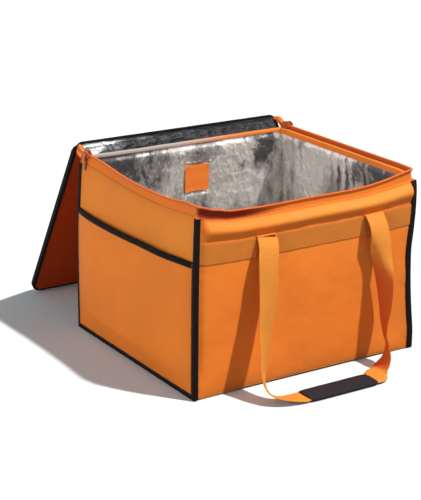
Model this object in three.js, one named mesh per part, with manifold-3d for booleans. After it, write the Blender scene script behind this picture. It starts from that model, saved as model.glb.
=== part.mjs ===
// Insulated delivery bag, standing open with its lid folded back.
// Millimetres, +Z up. The origin is the centre of the base's underside, the front faces -Y,
// and the side with the pocket faces -X.
import * as THREE from 'three';
import { mergeVertices } from 'three/addons/utils/BufferGeometryUtils.js';
import Module from 'manifold-3d';

const wasm = await Module();
wasm.setup();

// Driving dimensions
const bagWidth = 455;
const bagDepth = 398;
const rimHeight = 332;
const clothThickness = 1.2;
const foilThickness = 0.8;
const wallFoam = 9;
const baseCloth = 2.3;
const boardThickness = 3;
const seamGap = 0.3;
const webbingWidth = 38;
const webbingThickness = 2;
const bandThickness = 1.5;
const bindingThickness = 2;
const bindingSide = 10;
const bindingFront = 8;
const bindingTurn = 0.7;
const bindingTopGap = 1.3;
const halfWidth = bagWidth / 2;
const halfDepth = bagDepth / 2;

// Slump of the unsupported rim, measured from the straight box
const leanStart = 140;
const rimLean = 10;
const frontSag = 23;
const frontLeftDrop = 8;
const frontRightRise = 1;
const sagRampLeft = 70;
const sagRampRight = 150;
const sagFadePower = 5;
const rollBulge = 9;
const bulgeReach = 40;

// Heights on the walls
const panelDrop = 20;
const bandDrop = 62;
const rollDrop = 24;
const foamDrop = 10;
const backRise = 5.2;
const panelTop = rimHeight - panelDrop;
const backPanelTop = panelTop + backRise;
const bandTop = rimHeight - bandDrop;
const bandBottom = bandTop - webbingWidth;
const coilHeight = 3;
const coilWidth = 3.4;
const tapeTop = rimHeight - coilHeight;
const foamTop = rimHeight - foamDrop;
const facingThickness = 1;
const facingHeight = 15;
const rollGap = 1;
const rollBottom = bandTop + rollGap;
const rollTop = rimHeight - rollDrop;

// Layers, counted inwards from the outer face
const foamOuter = clothThickness + seamGap;
const foamInner = foamOuter + wallFoam;
const liningOuter = foamInner + seamGap;
const liningInner = liningOuter + foilThickness;

const colours = {
  cloth: [0xe67c32, 0.75],
  webbing: [0xdf9a48, 0.7],
  binding: [0x140d0c, 0.8],
  foil: [0xa8a49e, 0.35],
  foam: [0xe9e6dc, 0.9],
  board: [0x2f3134, 0.7],
  coil: [0xc9561d, 0.6],
  grip: [0x2e2a2e, 0.85],
  metal: [0x9a7350, 0.4],
};

const bag = new THREE.Group();

const clamp01 = (value) => Math.min(1, Math.max(0, value));
const ease = (value) => clamp01(value) ** 2 * (3 - 2 * clamp01(value));

// Keeps the shared stations that lie between two ends, so that neighbours bend alike
function between(stations, low, high) {
  return [low, ...stations.filter((s) => s > low + seamGap && s < high - seamGap), high];
}

// Moves one point of the straight box to its place on the slumped bag
function slump(point) {
  const { x, y, z } = point;
  const lean = clamp01((z - leanStart) / (rimHeight - leanStart)) ** 2 * rimLean;
  const fade = Math.max(0, z / rimHeight) ** sagFadePower;
  const ramp = ease((halfWidth - x) / sagRampRight) * ease((x + halfWidth) / sagRampLeft);
  const nearFront = clamp01((-y - halfDepth + 2 * bulgeReach) / bulgeReach);
  const rise = clamp01((z - rollBottom) / (rollTop - rollBottom));
  const roll = rollBulge * Math.sin(Math.PI * rise) ** 2 * ramp * nearFront;
  const across = clamp01(x / bagWidth + 1 / 2);
  const corner = (-frontLeftDrop * (1 - across) + frontRightRise * across) * clamp01(1 / 2 - y / bagDepth);
  return new THREE.Vector3(
    x - (lean * x) / halfWidth,
    y + lean * Math.max(0, -y / halfDepth) - roll,
    z + fade * (corner - frontSag * ramp * nearFront),
  );
}

function bend(geometry, map = slump) {
  const position = geometry.getAttribute('position');
  const point = new THREE.Vector3();
  for (let i = 0; i < position.count; i += 1) {
    const moved = map(point.fromBufferAttribute(position, i));
    position.setXYZ(i, moved.x, moved.y, moved.z);
  }
  return geometry;
}

function bare(geometry) {
  geometry.deleteAttribute('normal');
  geometry.deleteAttribute('uv');
  return mergeVertices(geometry);
}

function place(name, geometry, look, parent = bag) {
  geometry.computeVertexNormals();
  const [color, roughness] = colours[look];
  const metalness = look === 'metal' || look === 'foil' ? 0.6 : 0;
  const mesh = new THREE.Mesh(geometry, new THREE.MeshStandardMaterial({ color, roughness, metalness }));
  mesh.name = name;
  parent.add(mesh);
  return mesh;
}

// A box with its own stations along each axis, its faces divided the same way on opposite sides
function slab(xs, ys, zs) {
  const axes = [xs, ys, zs];
  const points = [];
  const seen = new Map();
  const vertex = (cell) => {
    const key = cell.join();
    if (!seen.has(key)) {
      seen.set(key, points.length);
      points.push(new THREE.Vector3(...axes.map((list, axis) => list[cell[axis]])));
    }
    return seen.get(key);
  };
  const index = [];
  axes.forEach((list, axis) => {
    const u = (axis + 1) % 3;
    const v = (axis + 2) % 3;
    for (const side of [0, list.length - 1]) {
      for (let i = 0; i < axes[u].length - 1; i += 1) {
        for (let j = 0; j < axes[v].length - 1; j += 1) {
          const [a, b, c, d] = [[0, 0], [1, 0], [1, 1], [0, 1]].map(([du, dv]) => {
            const cell = [side, side, side];
            cell[u] = i + du;
            cell[v] = j + dv;
            return vertex(cell);
          });
          index.push(...(side > 0 ? [a, b, c, a, c, d] : [a, c, b, a, d, c]));
        }
      }
    }
  });
  return new THREE.BufferGeometry().setFromPoints(points).setIndex(index);
}

// A solid through rings of points, either capped at both ends or closed on itself
function loft(rings, section, closed = false) {
  const size = section.length;
  const index = [];
  const spans = closed ? rings.length : rings.length - 1;
  for (let i = 0; i < spans; i += 1) {
    const a = i * size;
    const b = ((i + 1) % rings.length) * size;
    for (let j = 0; j < size; j += 1) {
      const k = (j + 1) % size;
      index.push(a + j, a + k, b + k, a + j, b + k, b + j);
    }
  }
  if (!closed) {
    const last = (rings.length - 1) * size;
    for (const [p, q, r] of THREE.ShapeUtils.triangulateShape(section, [])) {
      index.push(r, q, p, last + p, last + q, last + r);
    }
  }
  const geometry = new THREE.BufferGeometry();
  const points = rings.flat().flatMap((p) => [p.x, p.y, p.z]);
  geometry.setAttribute('position', new THREE.Float32BufferAttribute(points, 3));
  geometry.setIndex(index);
  if (volume(geometry) < 0) {
    geometry.setIndex(index.flatMap((_, i) => (i % 3 === 0 ? [index[i], index[i + 2], index[i + 1]] : [])));
  }
  return geometry;
}

function volume(geometry) {
  const position = geometry.getAttribute('position');
  const corners = [new THREE.Vector3(), new THREE.Vector3(), new THREE.Vector3()];
  let total = 0;
  for (let i = 0; i < geometry.index.count; i += 3) {
    corners.forEach((corner, k) => corner.fromBufferAttribute(position, geometry.index.getX(i + k)));
    total += corners[0].dot(corners[1].clone().cross(corners[2]));
  }
  return total;
}

function rectangle(u0, u1, v0, v1) {
  return [[u0, v0], [u1, v0], [u1, v1], [u0, v1]].map(([u, v]) => new THREE.Vector2(u, v));
}

function extrude(outline, depth, holes = []) {
  const shape = new THREE.Shape(outline);
  shape.holes = holes.map((hole) => new THREE.Path(hole));
  return bare(new THREE.ExtrudeGeometry(shape, { depth, bevelEnabled: false, curveSegments: 6 }));
}

// An outline in Y and Z, extruded along X
function extrudeX(outline, x0, x1, holes) {
  return bend(extrude(outline, x1 - x0, holes), (p) => new THREE.Vector3(x0 + p.z, p.x, p.y));
}

// An outline in Z and X, extruded along Y
function extrudeY(outline, y0, y1, holes) {
  return bend(extrude(outline, y1 - y0, holes), (p) => new THREE.Vector3(p.y, y0 + p.z, p.x));
}

function solidOf(geometry) {
  return new wasm.Manifold(new wasm.Mesh({
    numProp: 3,
    vertProperties: Float32Array.from(geometry.getAttribute('position').array),
    triVerts: Uint32Array.from(geometry.index.array),
  }));
}

function joined(first, second) {
  const mesh = solidOf(first).add(solidOf(second)).getMesh();
  const geometry = new THREE.BufferGeometry();
  geometry.setAttribute('position', new THREE.Float32BufferAttribute(mesh.vertProperties, 3));
  geometry.setIndex(Array.from(mesh.triVerts));
  return geometry;
}

function arc(centreU, centreV, radius, from, to, steps) {
  return Array.from({ length: steps + 1 }, (_, i) => {
    const angle = from + ((to - from) * i) / steps;
    return new THREE.Vector2(centreU + radius * Math.cos(angle), centreV + radius * Math.sin(angle));
  });
}

// Shared stations of the walls
const widthShares = [0, 0.03, 0.07, 0.11, 0.155, 0.3, 0.41, 0.52, 0.63, 0.72, 0.85, 0.93, 1];
const depthShares = [0, 0.05, 0.1, 0.133, 0.167, 0.2, 0.6, 1];
const rollShares = [0, 0.15, 0.32, 0.5, 0.68, 0.85, 1];
const wallShares = [0, 0.5, 1];
const anchorCentres = { front: [-94, 132], rear: [-113, 113] };
const anchorEdges = anchorCentres.front.flatMap((c) => [c - webbingWidth / 2, c + webbingWidth / 2]);
const widthStations = widthShares.map((s) => s * bagWidth - halfWidth);
const xStations = [...widthStations, ...anchorEdges].sort((a, b) => a - b);
const yStations = depthShares.map((s) => s * bagDepth - halfDepth);
const wallBottom = baseCloth + seamGap;
const zStations = [
  ...wallShares.map((s) => wallBottom + s * (leanStart - wallBottom)),
  (leanStart + bandBottom) / 2,
  bandBottom,
  (bandBottom + bandTop) / 2,
  bandTop,
  ...rollShares.map((s) => rollBottom + s * (rollTop - rollBottom)),
  panelTop,
  foamTop,
];

// One flat wall piece: `inner` and `outer` are depths below the bag's outer face
function wall(side, outer, inner, across, low, high) {
  const zs = between(zStations, low, high);
  const facesX = side === 'left' || side === 'right';
  const half = facesX ? halfWidth : halfDepth;
  const sign = side === 'left' || side === 'front' ? -1 : 1;
  const faces = [sign * (half - outer), sign * (half - inner)].sort((a, b) => a - b);
  const shared = { front: xStations, back: [] }[side] ?? yStations;
  const along = between(shared, -across, across);
  return bend(facesX ? slab(faces, along, zs) : slab(along, faces, zs));
}

// The front foam's outer face turns inwards at its ends, inside the zip's rounded corners
function roundedFoam(half) {
  const radius = mouthRadius - tapeCentre - seamGap;
  const outer = halfDepth - foamOuter;
  const turnShares = [1, 0.6, 0.3, 0.1, 0];
  const turns = turnShares.flatMap((s) => [half - s * radius, s * radius - half]);
  const flat = xStations.filter((s) => Math.abs(s) < half - radius - seamGap);
  const xs = [...flat, ...turns].sort((a, b) => a - b);
  const foam = slab(xs, [-outer, foamInner - halfDepth], between(zStations, wallBottom, foamTop));
  const turn = (p) => {
    const into = Math.max(0, Math.abs(p.x) - half + radius);
    const back = p.y < seamGap - outer ? radius - Math.sqrt(radius ** 2 - Math.min(into, radius) ** 2) : 0;
    return slump(new THREE.Vector3(p.x, p.y + back, p.z));
  };
  return bend(foam, turn);
}

const floorTop = baseCloth + seamGap + wallFoam + seamGap + boardThickness + seamGap + foilThickness;

function walls() {
  for (const side of ['front', 'back', 'left', 'right']) {
    const facesX = side === 'left' || side === 'right';
    const half = facesX ? halfDepth : halfWidth;
    const panelHalf = facesX ? half - foamOuter : half;
    const foamHalf = facesX ? half - liningOuter : half - foamOuter;
    const liningHalf = facesX ? half - liningInner - seamGap : half - liningOuter;
    const top = side === 'back' ? backPanelTop : panelTop;
    place(`${side}_panel`, wall(side, 0, clothThickness, panelHalf, wallBottom, top), 'cloth');
    const straight = () => wall(side, foamOuter, foamInner, foamHalf, wallBottom, foamTop);
    place(`${side}_foam`, side === 'front' ? roundedFoam(foamHalf) : straight(), 'foam');
    const liningTop = foamTop + facingThickness - facingHeight - seamGap;
    const liningLow = floorTop + seamGap;
    place(`${side}_lining`, wall(side, liningOuter, liningInner, liningHalf, liningLow, liningTop), 'foil');
  }
}

function base() {
  const panelX = halfWidth - bindingFront - seamGap;
  const insideX = halfWidth - liningOuter;
  const insideY = halfDepth - liningOuter;
  const foamHigh = wallBottom + wallFoam;
  const liningLow = floorTop - foilThickness;
  const layers = [
    ['base_panel', panelX, halfDepth, 0, baseCloth, 'cloth'],
    ['base_foam', insideX, insideY, wallBottom, foamHigh, 'foam'],
    ['base_board', insideX, insideY, foamHigh + seamGap, liningLow - seamGap, 'board'],
    ['base_lining', insideX, insideY, liningLow, floorTop, 'foil'],
  ];
  for (const [name, x, y, low, high, look] of layers) {
    place(name, slab([-x, x], [-y, y], [low, high]), look);
  }
}

// The black binding wraps both faces of a side panel's seam: up the front, along the base, up the back
function seamBinding(name, sign) {
  const outerY = halfDepth + seamGap + bindingThickness;
  const cornerRadius = bindingThickness + bindingTurn;
  const top = panelTop - bindingTopGap;
  const uPath = (inset) => {
    const y = outerY - inset;
    const z = seamGap + inset;
    const radius = Math.max(cornerRadius - inset, bindingTurn);
    const centreZ = z + radius;
    const rise = between(zStations.filter((s) => s > bindingSide + seamGap), centreZ, top);
    const up = rise.slice(1).map((s) => new THREE.Vector2(y, s));
    const corner = arc(y - radius, centreZ, radius, -Math.PI / 2, 0, 3);
    const right = [...corner, ...up];
    const left = right.map((p) => new THREE.Vector2(-p.x, p.y)).reverse();
    return [...left, ...right];
  };
  const outerX = sign * (halfWidth + seamGap + bindingThickness);
  const faceX = sign * (halfWidth + seamGap);
  const frontX = sign * (halfWidth - bindingFront);
  const strip = (reach, x) => {
    const near = uPath(0);
    const far = uPath(reach);
    const rings = near.map((p, i) => [[outerX, p], [x, p], [x, far[i]], [outerX, far[i]]].map(
      ([at, q]) => slump(new THREE.Vector3(at, q.x, q.y))));
    return loft(rings, rectangle(0, 1, 0, 1));
  };
  place(name, joined(strip(bindingSide, faceX), strip(bindingThickness, frontX)), 'binding');
}

// Orange strip over the foam's top edge and down its inner side, mitred at the corners
function rimFacing() {
  const x = halfWidth - foamOuter;
  const y = halfDepth - foamOuter;
  const capLow = foamTop + seamGap;
  const capHigh = capLow + facingThickness;
  const low = capHigh - facingHeight;
  const inner = wallFoam + seamGap;
  const section = [[0, capLow], [inner, capLow], [inner, low], [inner + facingThickness, low],
    [inner + facingThickness, capHigh], [0, capHigh]].map(([u, v]) => new THREE.Vector2(u, v));
  const freeX = between(xStations, -x + foamInner, x - foamInner).slice(1, -1);
  const freeY = between(yStations, -y + foamInner, y - foamInner).slice(1, -1);
  const nearY = -y + foamInner + bandThickness;
  const corner = (mouthRadius - tapeCentre) * (1 - Math.SQRT1_2);
  const stations = [
    [-1, -1], ...freeX.map((s) => [s, -1]), [1, -1], [1, nearY], ...freeY.map((s) => [1, s]),
    [1, 1], [-1, 1], ...freeY.map((s) => [-1, s]).reverse(), [-1, nearY],
  ];
  const at = (value, half, inset) => (Math.abs(value) === 1 ? value * (half - inset) : value);
  const rings = stations.map(([sx, sy]) => section.map((p) => {
    const inset = Math.abs(sx) === 1 && sy === -1 ? Math.max(p.x, corner) : p.x;
    return slump(new THREE.Vector3(at(sx, x, inset), at(sy, y, inset), p.y));
  }));
  place('rim_facing', loft(rings, section, true), 'cloth');
}

// Stations of a U that runs from the back, round two corners and back again: points and outward normals
function mouthPath(x, front, back, radius, frontStations) {
  const sides = [-1, 1].map((sign) => [
    { at: new THREE.Vector2(sign * x, back), out: new THREE.Vector2(sign, 0) },
    ...yStations.filter((s) => s < back - radius && s > front + 2 * radius).reverse()
      .map((s) => ({ at: new THREE.Vector2(sign * x, s), out: new THREE.Vector2(sign, 0) })),
    ...Array.from({ length: 5 }, (_, i) => {
      const angle = (i / 4) * (Math.PI / 2);
      const out = new THREE.Vector2(sign * Math.cos(angle), -Math.sin(angle));
      const centre = new THREE.Vector2(sign * (x - radius), front + radius);
      return { at: centre.addScaledVector(out, radius), out };
    }),
  ]);
  const run = frontStations.filter((s) => Math.abs(s) < x - radius - seamGap)
    .map((s) => ({ at: new THREE.Vector2(s, front), out: new THREE.Vector2(0, -1) }));
  return [...sides[0], ...run, ...sides[1].reverse()];
}

function sweepMouth(path, section, map) {
  const rings = path.map(({ at, out }) => section.map(
    (p) => map(new THREE.Vector3(at.x + out.x * p.x, at.y + out.y * p.x, p.y)),
  ));
  return loft(rings, section);
}

const zipBack = halfDepth - liningOuter;
const mouthRadius = 8;
const tapeCentre = clothThickness / 2;

function bodyZip() {
  const path = mouthPath(halfWidth - tapeCentre, tapeCentre - halfDepth, zipBack, mouthRadius, xStations);
  const tape = rectangle(-tapeCentre, tapeCentre, panelTop + seamGap, tapeTop - seamGap);
  const coil = rectangle(-coilWidth / 2, coilWidth / 2, tapeTop, rimHeight);
  place('body_zip_tape', sweepMouth(path, tape, slump), 'cloth');
  place('body_zip_coil', sweepMouth(path, coil, slump), 'coil');
}

// Webbing across the front or back, lifted where a strap is sewn behind it
const hingeOut = 9;
const foldRise = 0.9;
const hingeHeight = bandTop + webbingThickness / 2 + foldRise;
const anchorInset = 4;
const liftRun = 8;

function band(name, sign, centres) {
  const reach = halfWidth - bindingFront - seamGap;
  const lift = webbingThickness + seamGap;
  const edges = centres.flatMap((c) => [-1, 1].flatMap((s) => [
    c + s * (webbingWidth / 2 + seamGap), c + s * (webbingWidth / 2 + liftRun)]));
  const xs = between([...xStations, ...edges].sort((a, b) => a - b), -reach, reach);
  const off = (x) => Math.max(...centres.map((c) => clamp01(
    (webbingWidth / 2 + liftRun - Math.abs(x - c)) / (liftRun - seamGap))));
  const section = rectangle(0, bandThickness, bandBottom, bandTop);
  const rings = xs.map((x) => section.map((p) => slump(
    new THREE.Vector3(x, sign * (halfDepth + seamGap + lift * off(x) + p.x), p.y))));
  place(name, loft(rings, section), 'webbing');
}

function strapAnchor(name, sign, centre) {
  const low = bandBottom + anchorInset;
  const shelfTop = hingeHeight + webbingThickness / 2;
  const shelfLow = shelfTop - webbingThickness;
  const tip = hingeOut - webbingThickness / 2 - seamGap;
  const outerFace = seamGap + webbingThickness;
  const section = [[seamGap, low], [outerFace, low], [outerFace, shelfLow], [tip, shelfLow],
    [tip, shelfTop], [outerFace, shelfTop], [seamGap, shelfTop - webbingThickness / 2]]
    .map(([u, v]) => new THREE.Vector2(u, v));
  const xs = between(xStations, centre - webbingWidth / 2, centre + webbingWidth / 2);
  const rings = xs.map((x) => section.map(
    (p) => slump(new THREE.Vector3(x, sign * (halfDepth + p.x), p.y))));
  place(name, loft(rings, section), 'webbing');
}

function strapMounts() {
  for (const [end, sign] of [['front', -1], ['rear', 1]]) {
    band(`${end}_band`, sign, anchorCentres[end]);
    anchorCentres[end].forEach((centre, i) => {
      strapAnchor(`${end}_${i === 0 ? 'left' : 'right'}_strap_anchor`, sign, centre);
    });
  }
}

// Patch pocket on the left side: a bellied sheet, closed at its sides and foot, open at the top
const pocketDrop = 104;
const pocketTop = rimHeight - pocketDrop;
const pocketBelly = 8;
const pocketRise = 40;

function pocketOffset(y, z) {
  const half = halfDepth - bindingSide;
  const low = bindingSide + 2 * seamGap;
  return pocketBelly * (1 - clamp01(Math.abs(y) / half) ** 4) * ease((z - low) / pocketRise);
}

const trim = 1.2;
const trimHeight = 10;

function pocket() {
  const half = halfDepth - bindingSide + bindingThickness;
  const low = bindingSide + 2 * seamGap;
  const standoff = seamGap + trim + seamGap;
  const pocketYShares = [-1, -0.97, -0.9, -0.8, -0.65, -0.45, -0.2, 0, 0.2, 0.45, 0.65, 0.8, 0.9, 0.97, 1];
  const ys = pocketYShares.map((s) => s * half);
  const riseShares = [0, 0.25, 0.5, 0.75, 1];
  const sheetTop = pocketTop - trim - seamGap;
  const rises = riseShares.map((s) => low + s * pocketRise);
  const zs = between([...rises, ...zStations].sort((a, b) => a - b), low, sheetTop);
  const outward = (p, offset) => slump(new THREE.Vector3(-(halfWidth + offset), p.y, p.z));
  const sheet = slab([0, clothThickness], ys, zs);
  bend(sheet, (p) => outward(p, standoff + clothThickness - p.x + pocketOffset(p.y, p.z)));
  place('pocket_panel', sheet, 'cloth');
  const inner = seamGap;
  const outer = standoff + clothThickness + seamGap + trim;
  const slotInner = inner + trim;
  const slotOuter = outer - trim;
  const trimLow = pocketTop - trimHeight;
  const section = [[inner, trimLow], [slotInner, trimLow], [slotInner, pocketTop - trim],
    [slotOuter, pocketTop - trim], [slotOuter, trimLow], [outer, trimLow],
    [outer, pocketTop], [inner, pocketTop]].map(([u, v]) => new THREE.Vector2(u, v));
  const rings = ys.map((y) => section.map(
    (p) => outward(new THREE.Vector3(0, y, p.y), p.x + pocketOffset(y, p.y))));
  place('pocket_binding', loft(rings, section), 'binding');
}

const patchSize = 50;
const patchRight = 18;
const patchDrop = 80;

function liningPatch() {
  const face = halfDepth - liningInner - seamGap;
  const xs = between(xStations, patchRight - patchSize / 2, patchRight + patchSize / 2);
  const centre = rimHeight - patchDrop;
  const patch = slab(xs, [face - facingThickness, face], [centre - patchSize / 2, centre + patchSize / 2]);
  place('lining_patch', bend(patch), 'cloth');
}

// Hinge strip: it folds about the back wall's top edge, and the lid folds about its free edge
const stripOut = 1;
const stripRise = 0.6;
const lidFoldOut = 23;
const lidFoldRise = 8;
const stripFold = new THREE.Vector2(halfDepth + stripOut, backPanelTop + stripRise);
const lidFold = new THREE.Vector2(halfDepth + lidFoldOut, rimHeight + lidFoldRise);
const stripLength = lidFold.distanceTo(stripFold);
const stripAngle = Math.atan2(lidFold.y - stripFold.y, lidFold.x - stripFold.x);
const foldRod = 1.6;

// The lid's own outline sizes are set here, because the strip is as wide as the lid's straight back edge
const lidFrontInset = 11;
const lidSideInset = 4.5;
const lidHingeCorner = 9;
const lidLength = bagDepth - lidFrontInset;
const lidHalfWidth = halfWidth - lidSideInset;
const hingeHalf = lidHalfWidth - lidHingeCorner;

function hingeStrip() {
  const group = new THREE.Group();
  group.position.set(0, stripFold.x, stripFold.y);
  group.rotation.x = stripAngle - Math.PI / 2;
  bag.add(group);
  const low = -seamGap;
  const high = stripLength - foldRod - 2 * seamGap;
  const width = [-hingeHalf, hingeHalf];
  const liningFace = -seamGap * 3 / 2;
  const outer = slab(width, [-seamGap / 2, clothThickness - seamGap / 2], [low, high]);
  const lining = slab(width, [liningFace - foilThickness, liningFace], [low, high]);
  place('gusset_outer', outer, 'cloth', group);
  place('gusset_lining', lining, 'foil', group);
}

// Lid, built closed: the fold is its origin, it runs towards -Y and its outer face is up
const lidStart = 5;
const lidFoam = 6;
const lidBinding = 1.2;
const lidFlange = 6;
const lidCorner = 22;
const leastCorner = 0.5;
const lidZipStart = 40;
const lidLean = (30.5 * Math.PI) / 180;
const lidTapeDepth = 9;

function lidOutline(inset) {
  const x = lidHalfWidth - inset;
  const back = -lidStart - inset;
  const front = -lidLength + inset;
  const radius = lidCorner - inset;
  const small = Math.max(lidHingeCorner - inset, leastCorner);
  const quarter = Math.PI / 2;
  return [
    ...arc(-x + radius, front + radius, radius, -2 * quarter, -quarter, 6),
    ...arc(x - radius, front + radius, radius, -quarter, 0, 6),
    ...arc(x - small, back - small, small, 0, quarter, 3),
    ...arc(-x + small, back - small, small, quarter, 2 * quarter, 3),
  ];
}

function lid() {
  const group = new THREE.Group();
  group.position.set(0, lidFold.x, lidFold.y);
  group.rotation.x = Math.PI / 2 + lidLean;
  bag.add(group);
  const layer = (name, inset, low, high, look) => {
    const geometry = extrude(lidOutline(inset), high - low);
    geometry.translate(0, 0, low);
    place(name, geometry, look, group);
  };
  const liningLow = lidBinding + seamGap;
  const foamLow = liningLow + foilThickness + seamGap;
  const clothLow = foamLow + lidFoam + seamGap;
  const clothHigh = clothLow + clothThickness;
  const bindingHigh = clothHigh + seamGap + lidBinding;
  const edge = lidBinding + seamGap;
  layer('lid_lining', edge, liningLow, liningLow + foilThickness, 'foil');
  layer('lid_foam', edge, foamLow, foamLow + lidFoam, 'foam');
  layer('lid_outer', edge, clothLow, clothHigh, 'cloth');
  lidBindingPiece(group, bindingHigh);
  const rod = arc(0, 0, foldRod, Math.PI * 1.2, Math.PI * 2.8, 8);
  const tongue = [1, -1].map((end) => new THREE.Vector2(-lidStart + seamGap, end * foldRod / 3));
  place('hinge_binding', extrudeX([...rod, ...tongue], -hingeHalf, hingeHalf), 'binding', group);
  lidZip(group);
}

// Channel-shaped binding round the lid's edge
function lidBindingPiece(group, high) {
  const wide = lidBinding;
  const section = [[0, 0], [lidFlange, 0], [lidFlange, wide], [wide, wide], [wide, high - wide],
    [lidFlange, high - wide], [lidFlange, high], [0, high]].map(([u, v]) => new THREE.Vector2(u, v));
  const outlines = section.map((p) => lidOutline(p.x));
  const rings = outlines[0].map((_, i) => section.map(
    (p, j) => new THREE.Vector3(outlines[j][i].x, outlines[j][i].y, p.y)));
  place('lid_binding', loft(rings, section, true), 'binding', group);
}

function lidZip(group) {
  const x = halfWidth - tapeCentre - rimLean;
  const inset = lidHalfWidth - x;
  const path = mouthPath(x, -lidLength + inset / 2, -lidZipStart, lidCorner - inset, []);
  const keep = (p) => p.clone();
  const tape = rectangle(-tapeCentre, tapeCentre, -lidTapeDepth, -seamGap);
  const coilHigh = -lidTapeDepth - seamGap;
  const coil = rectangle(-coilWidth / 2, coilWidth / 2, coilHigh - coilHeight, coilHigh);
  place('lid_zip_tape', sweepMouth(path, tape, keep), 'binding', group);
  place('lid_zip_coil', sweepMouth(path, coil, keep), 'binding', group);
}

// Carrying strap: each leg's route as shares of webbing width sideways, of the grip's reach outwards and
// of the fold's height, with its turn about its own length as a share of a half turn
const gripReach = 82;
const gripLength = 128;
const gripShift = { front: -25, rear: 0 };
const gripHeight = 8.5;
const gripEdge = 2;
const gripWidth = webbingWidth + 2 * gripEdge;
const gripLift = 0.4;
const gripLead = 10;
const gripBevel = 2;
const leftLegShares = [
  [0, 0, 1, 0], [0, 0.12, 0.945, 0], [-0.1, 0.2, 0.88, 0], [-0.28, 0.26, 0.8, 0.03],
  [-0.45, 0.31, 0.68, 0.07], [-0.56, 0.37, 0.56, 0.13], [-0.68, 0.43, 0.42, 0.19], [-0.82, 0.5, 0.29, 0.25],
  [-0.97, 0.58, 0.17, 0.3], [-1.0, 0.69, 0.075, 0.32], [-0.82, 0.82, 0.025, 0.33], [-0.4, 0.94, 0.006, 0.4],
];
const rightLegShares = [
  [0, 0, 1, 0], [0, 0.13, 0.945, 0], [-0.06, 0.24, 0.87, 0.02], [-0.06, 0.31, 0.76, 0.06],
  [0, 0.32, 0.64, 0.09], [0.1, 0.3, 0.52, 0.12], [0.2, 0.29, 0.39, 0.18], [0.27, 0.32, 0.26, 0.25],
  [0.24, 0.39, 0.15, 0.33], [0, 0.5, 0.07, 0.46], [-0.45, 0.66, 0.025, 0.6], [-1.0, 0.86, 0.006, 0.62],
];
const rearRightShares = leftLegShares.map(([side, out, up, turn]) => [-side, out, up, 1 - turn]);

function handle(end, foldLeft, foldRight) {
  const sign = end === 'front' ? -1 : 1;
  const mid = (foldLeft.x + foldRight.x) / 2 + gripShift[end];
  const webHeight = gripLift + gripHeight / 2;
  const leg = (fold, shares) => shares.map(([side, out, up, turn]) => ({
    at: new THREE.Vector3(
      fold.x + side * webbingWidth,
      fold.y - out * gripReach,
      webHeight + (fold.z - webHeight) * up,
    ),
    turn: turn * Math.PI,
  }));
  const gripY = foldLeft.y - gripReach;
  const gripEnds = [mid - gripLength / 2, mid + gripLength / 2];
  const straight = [gripEnds[0] - gripLead, gripEnds[0], gripEnds[1], gripEnds[1] + gripLead];
  const inGrip = straight.map((x) => ({ at: new THREE.Vector3(x, gripY, webHeight), turn: Math.PI / 2 }));
  const rightShares = end === 'front' ? rightLegShares : rearRightShares;
  const route = [...leg(foldLeft, leftLegShares), ...inGrip, ...leg(foldRight, rightShares).reverse()];
  const curve = new THREE.CatmullRomCurve3(route.map((stop) => stop.at));
  const steps = (route.length - 1) * 2;
  const half = [webbingWidth / 2, webbingThickness / 2];
  const rings = Array.from({ length: steps + 1 }, (_, i) => {
    const at = curve.getPoint(i / steps);
    const low = route[Math.floor(i / 2)];
    const high = route[Math.ceil(i / 2)];
    const turn = (low.turn + high.turn) / 2;
    const across = new THREE.Vector3(Math.cos(turn), Math.sin(turn), 0);
    const along = curve.getTangent(i / steps);
    across.addScaledVector(along, -across.dot(along)).normalize();
    const face = along.cross(across);
    return rectangle(-half[0], half[0], -half[1], half[1]).map(
      (p) => at.clone().addScaledVector(across, p.x).addScaledVector(face, p.y));
  });
  const group = new THREE.Group();
  group.rotation.z = sign > 0 ? Math.PI : 0;
  bag.add(group);
  place(`${end}_handle_webbing`, loft(rings, rectangle(0, 1, 0, 1)), 'webbing', group);
  const [y0, y1] = [gripY - gripWidth / 2, gripY + gripWidth / 2];
  const [z0, z1] = [gripLift, gripLift + gripHeight];
  const outline = [[y0 + gripBevel, z0], [y1 - gripBevel, z0], [y1, z0 + gripBevel], [y1, z1 - gripBevel],
    [y1 - gripBevel, z1], [y0 + gripBevel, z1], [y0, z1 - gripBevel], [y0, z0 + gripBevel]]
    .map(([u, v]) => new THREE.Vector2(u, v));
  const slotHalf = webbingWidth / 2 + seamGap;
  const slotLow = webHeight - half[1] - seamGap;
  const slotHigh = webHeight + half[1] + seamGap;
  const slot = rectangle(gripY - slotHalf, gripY + slotHalf, slotLow, slotHigh);
  place(`${end}_grip`, extrudeX(outline, gripEnds[0], gripEnds[1], [slot]), 'grip', group);
}

function handles() {
  const fold = (x, sign) => slump(new THREE.Vector3(x, sign * (halfDepth + hingeOut), hingeHeight));
  const [frontLeft, frontRight] = anchorCentres.front.map((x) => fold(x, -1));
  handle('front', frontLeft, frontRight);
  const turned = anchorCentres.rear.map((x) => fold(x, 1)).map((p) => new THREE.Vector3(-p.x, -p.y, p.z));
  handle('rear', turned[1], turned[0]);
}

// Zip slider: two plates that straddle the coil, a bridge over it, flanges under it, and ears for the pull
const sliderInset = 21;
const sliderLength = 22;
const plateClearance = 0.9;
const plateThickness = 1.6;
const plateLow = -4.5;
const plateHigh = 8.5;
const plateInner = coilWidth / 2 + plateClearance;
const plateOuter = plateInner + plateThickness;
const bridgeGap = 0.7;
const bridgeThickness = 2;
const flangeThickness = 1.2;
const flangeInner = 1.1;
const earReach = 4.4;
const earInner = 4;
const earThickness = 2;
const earLow = -1;
const earHigh = 4;
const pinRise = 1.5;
const pinRadius = 0.8;
const pinOut = plateOuter + earReach / 2 + seamGap;
const tabWidth = 7;
const tabLength = 28;
const tabThickness = 1.6;
const tabEye = 2.1;
const tabHole = 1.15;

const sorted = (a, b) => [Math.min(a, b), Math.max(a, b)];

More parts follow.
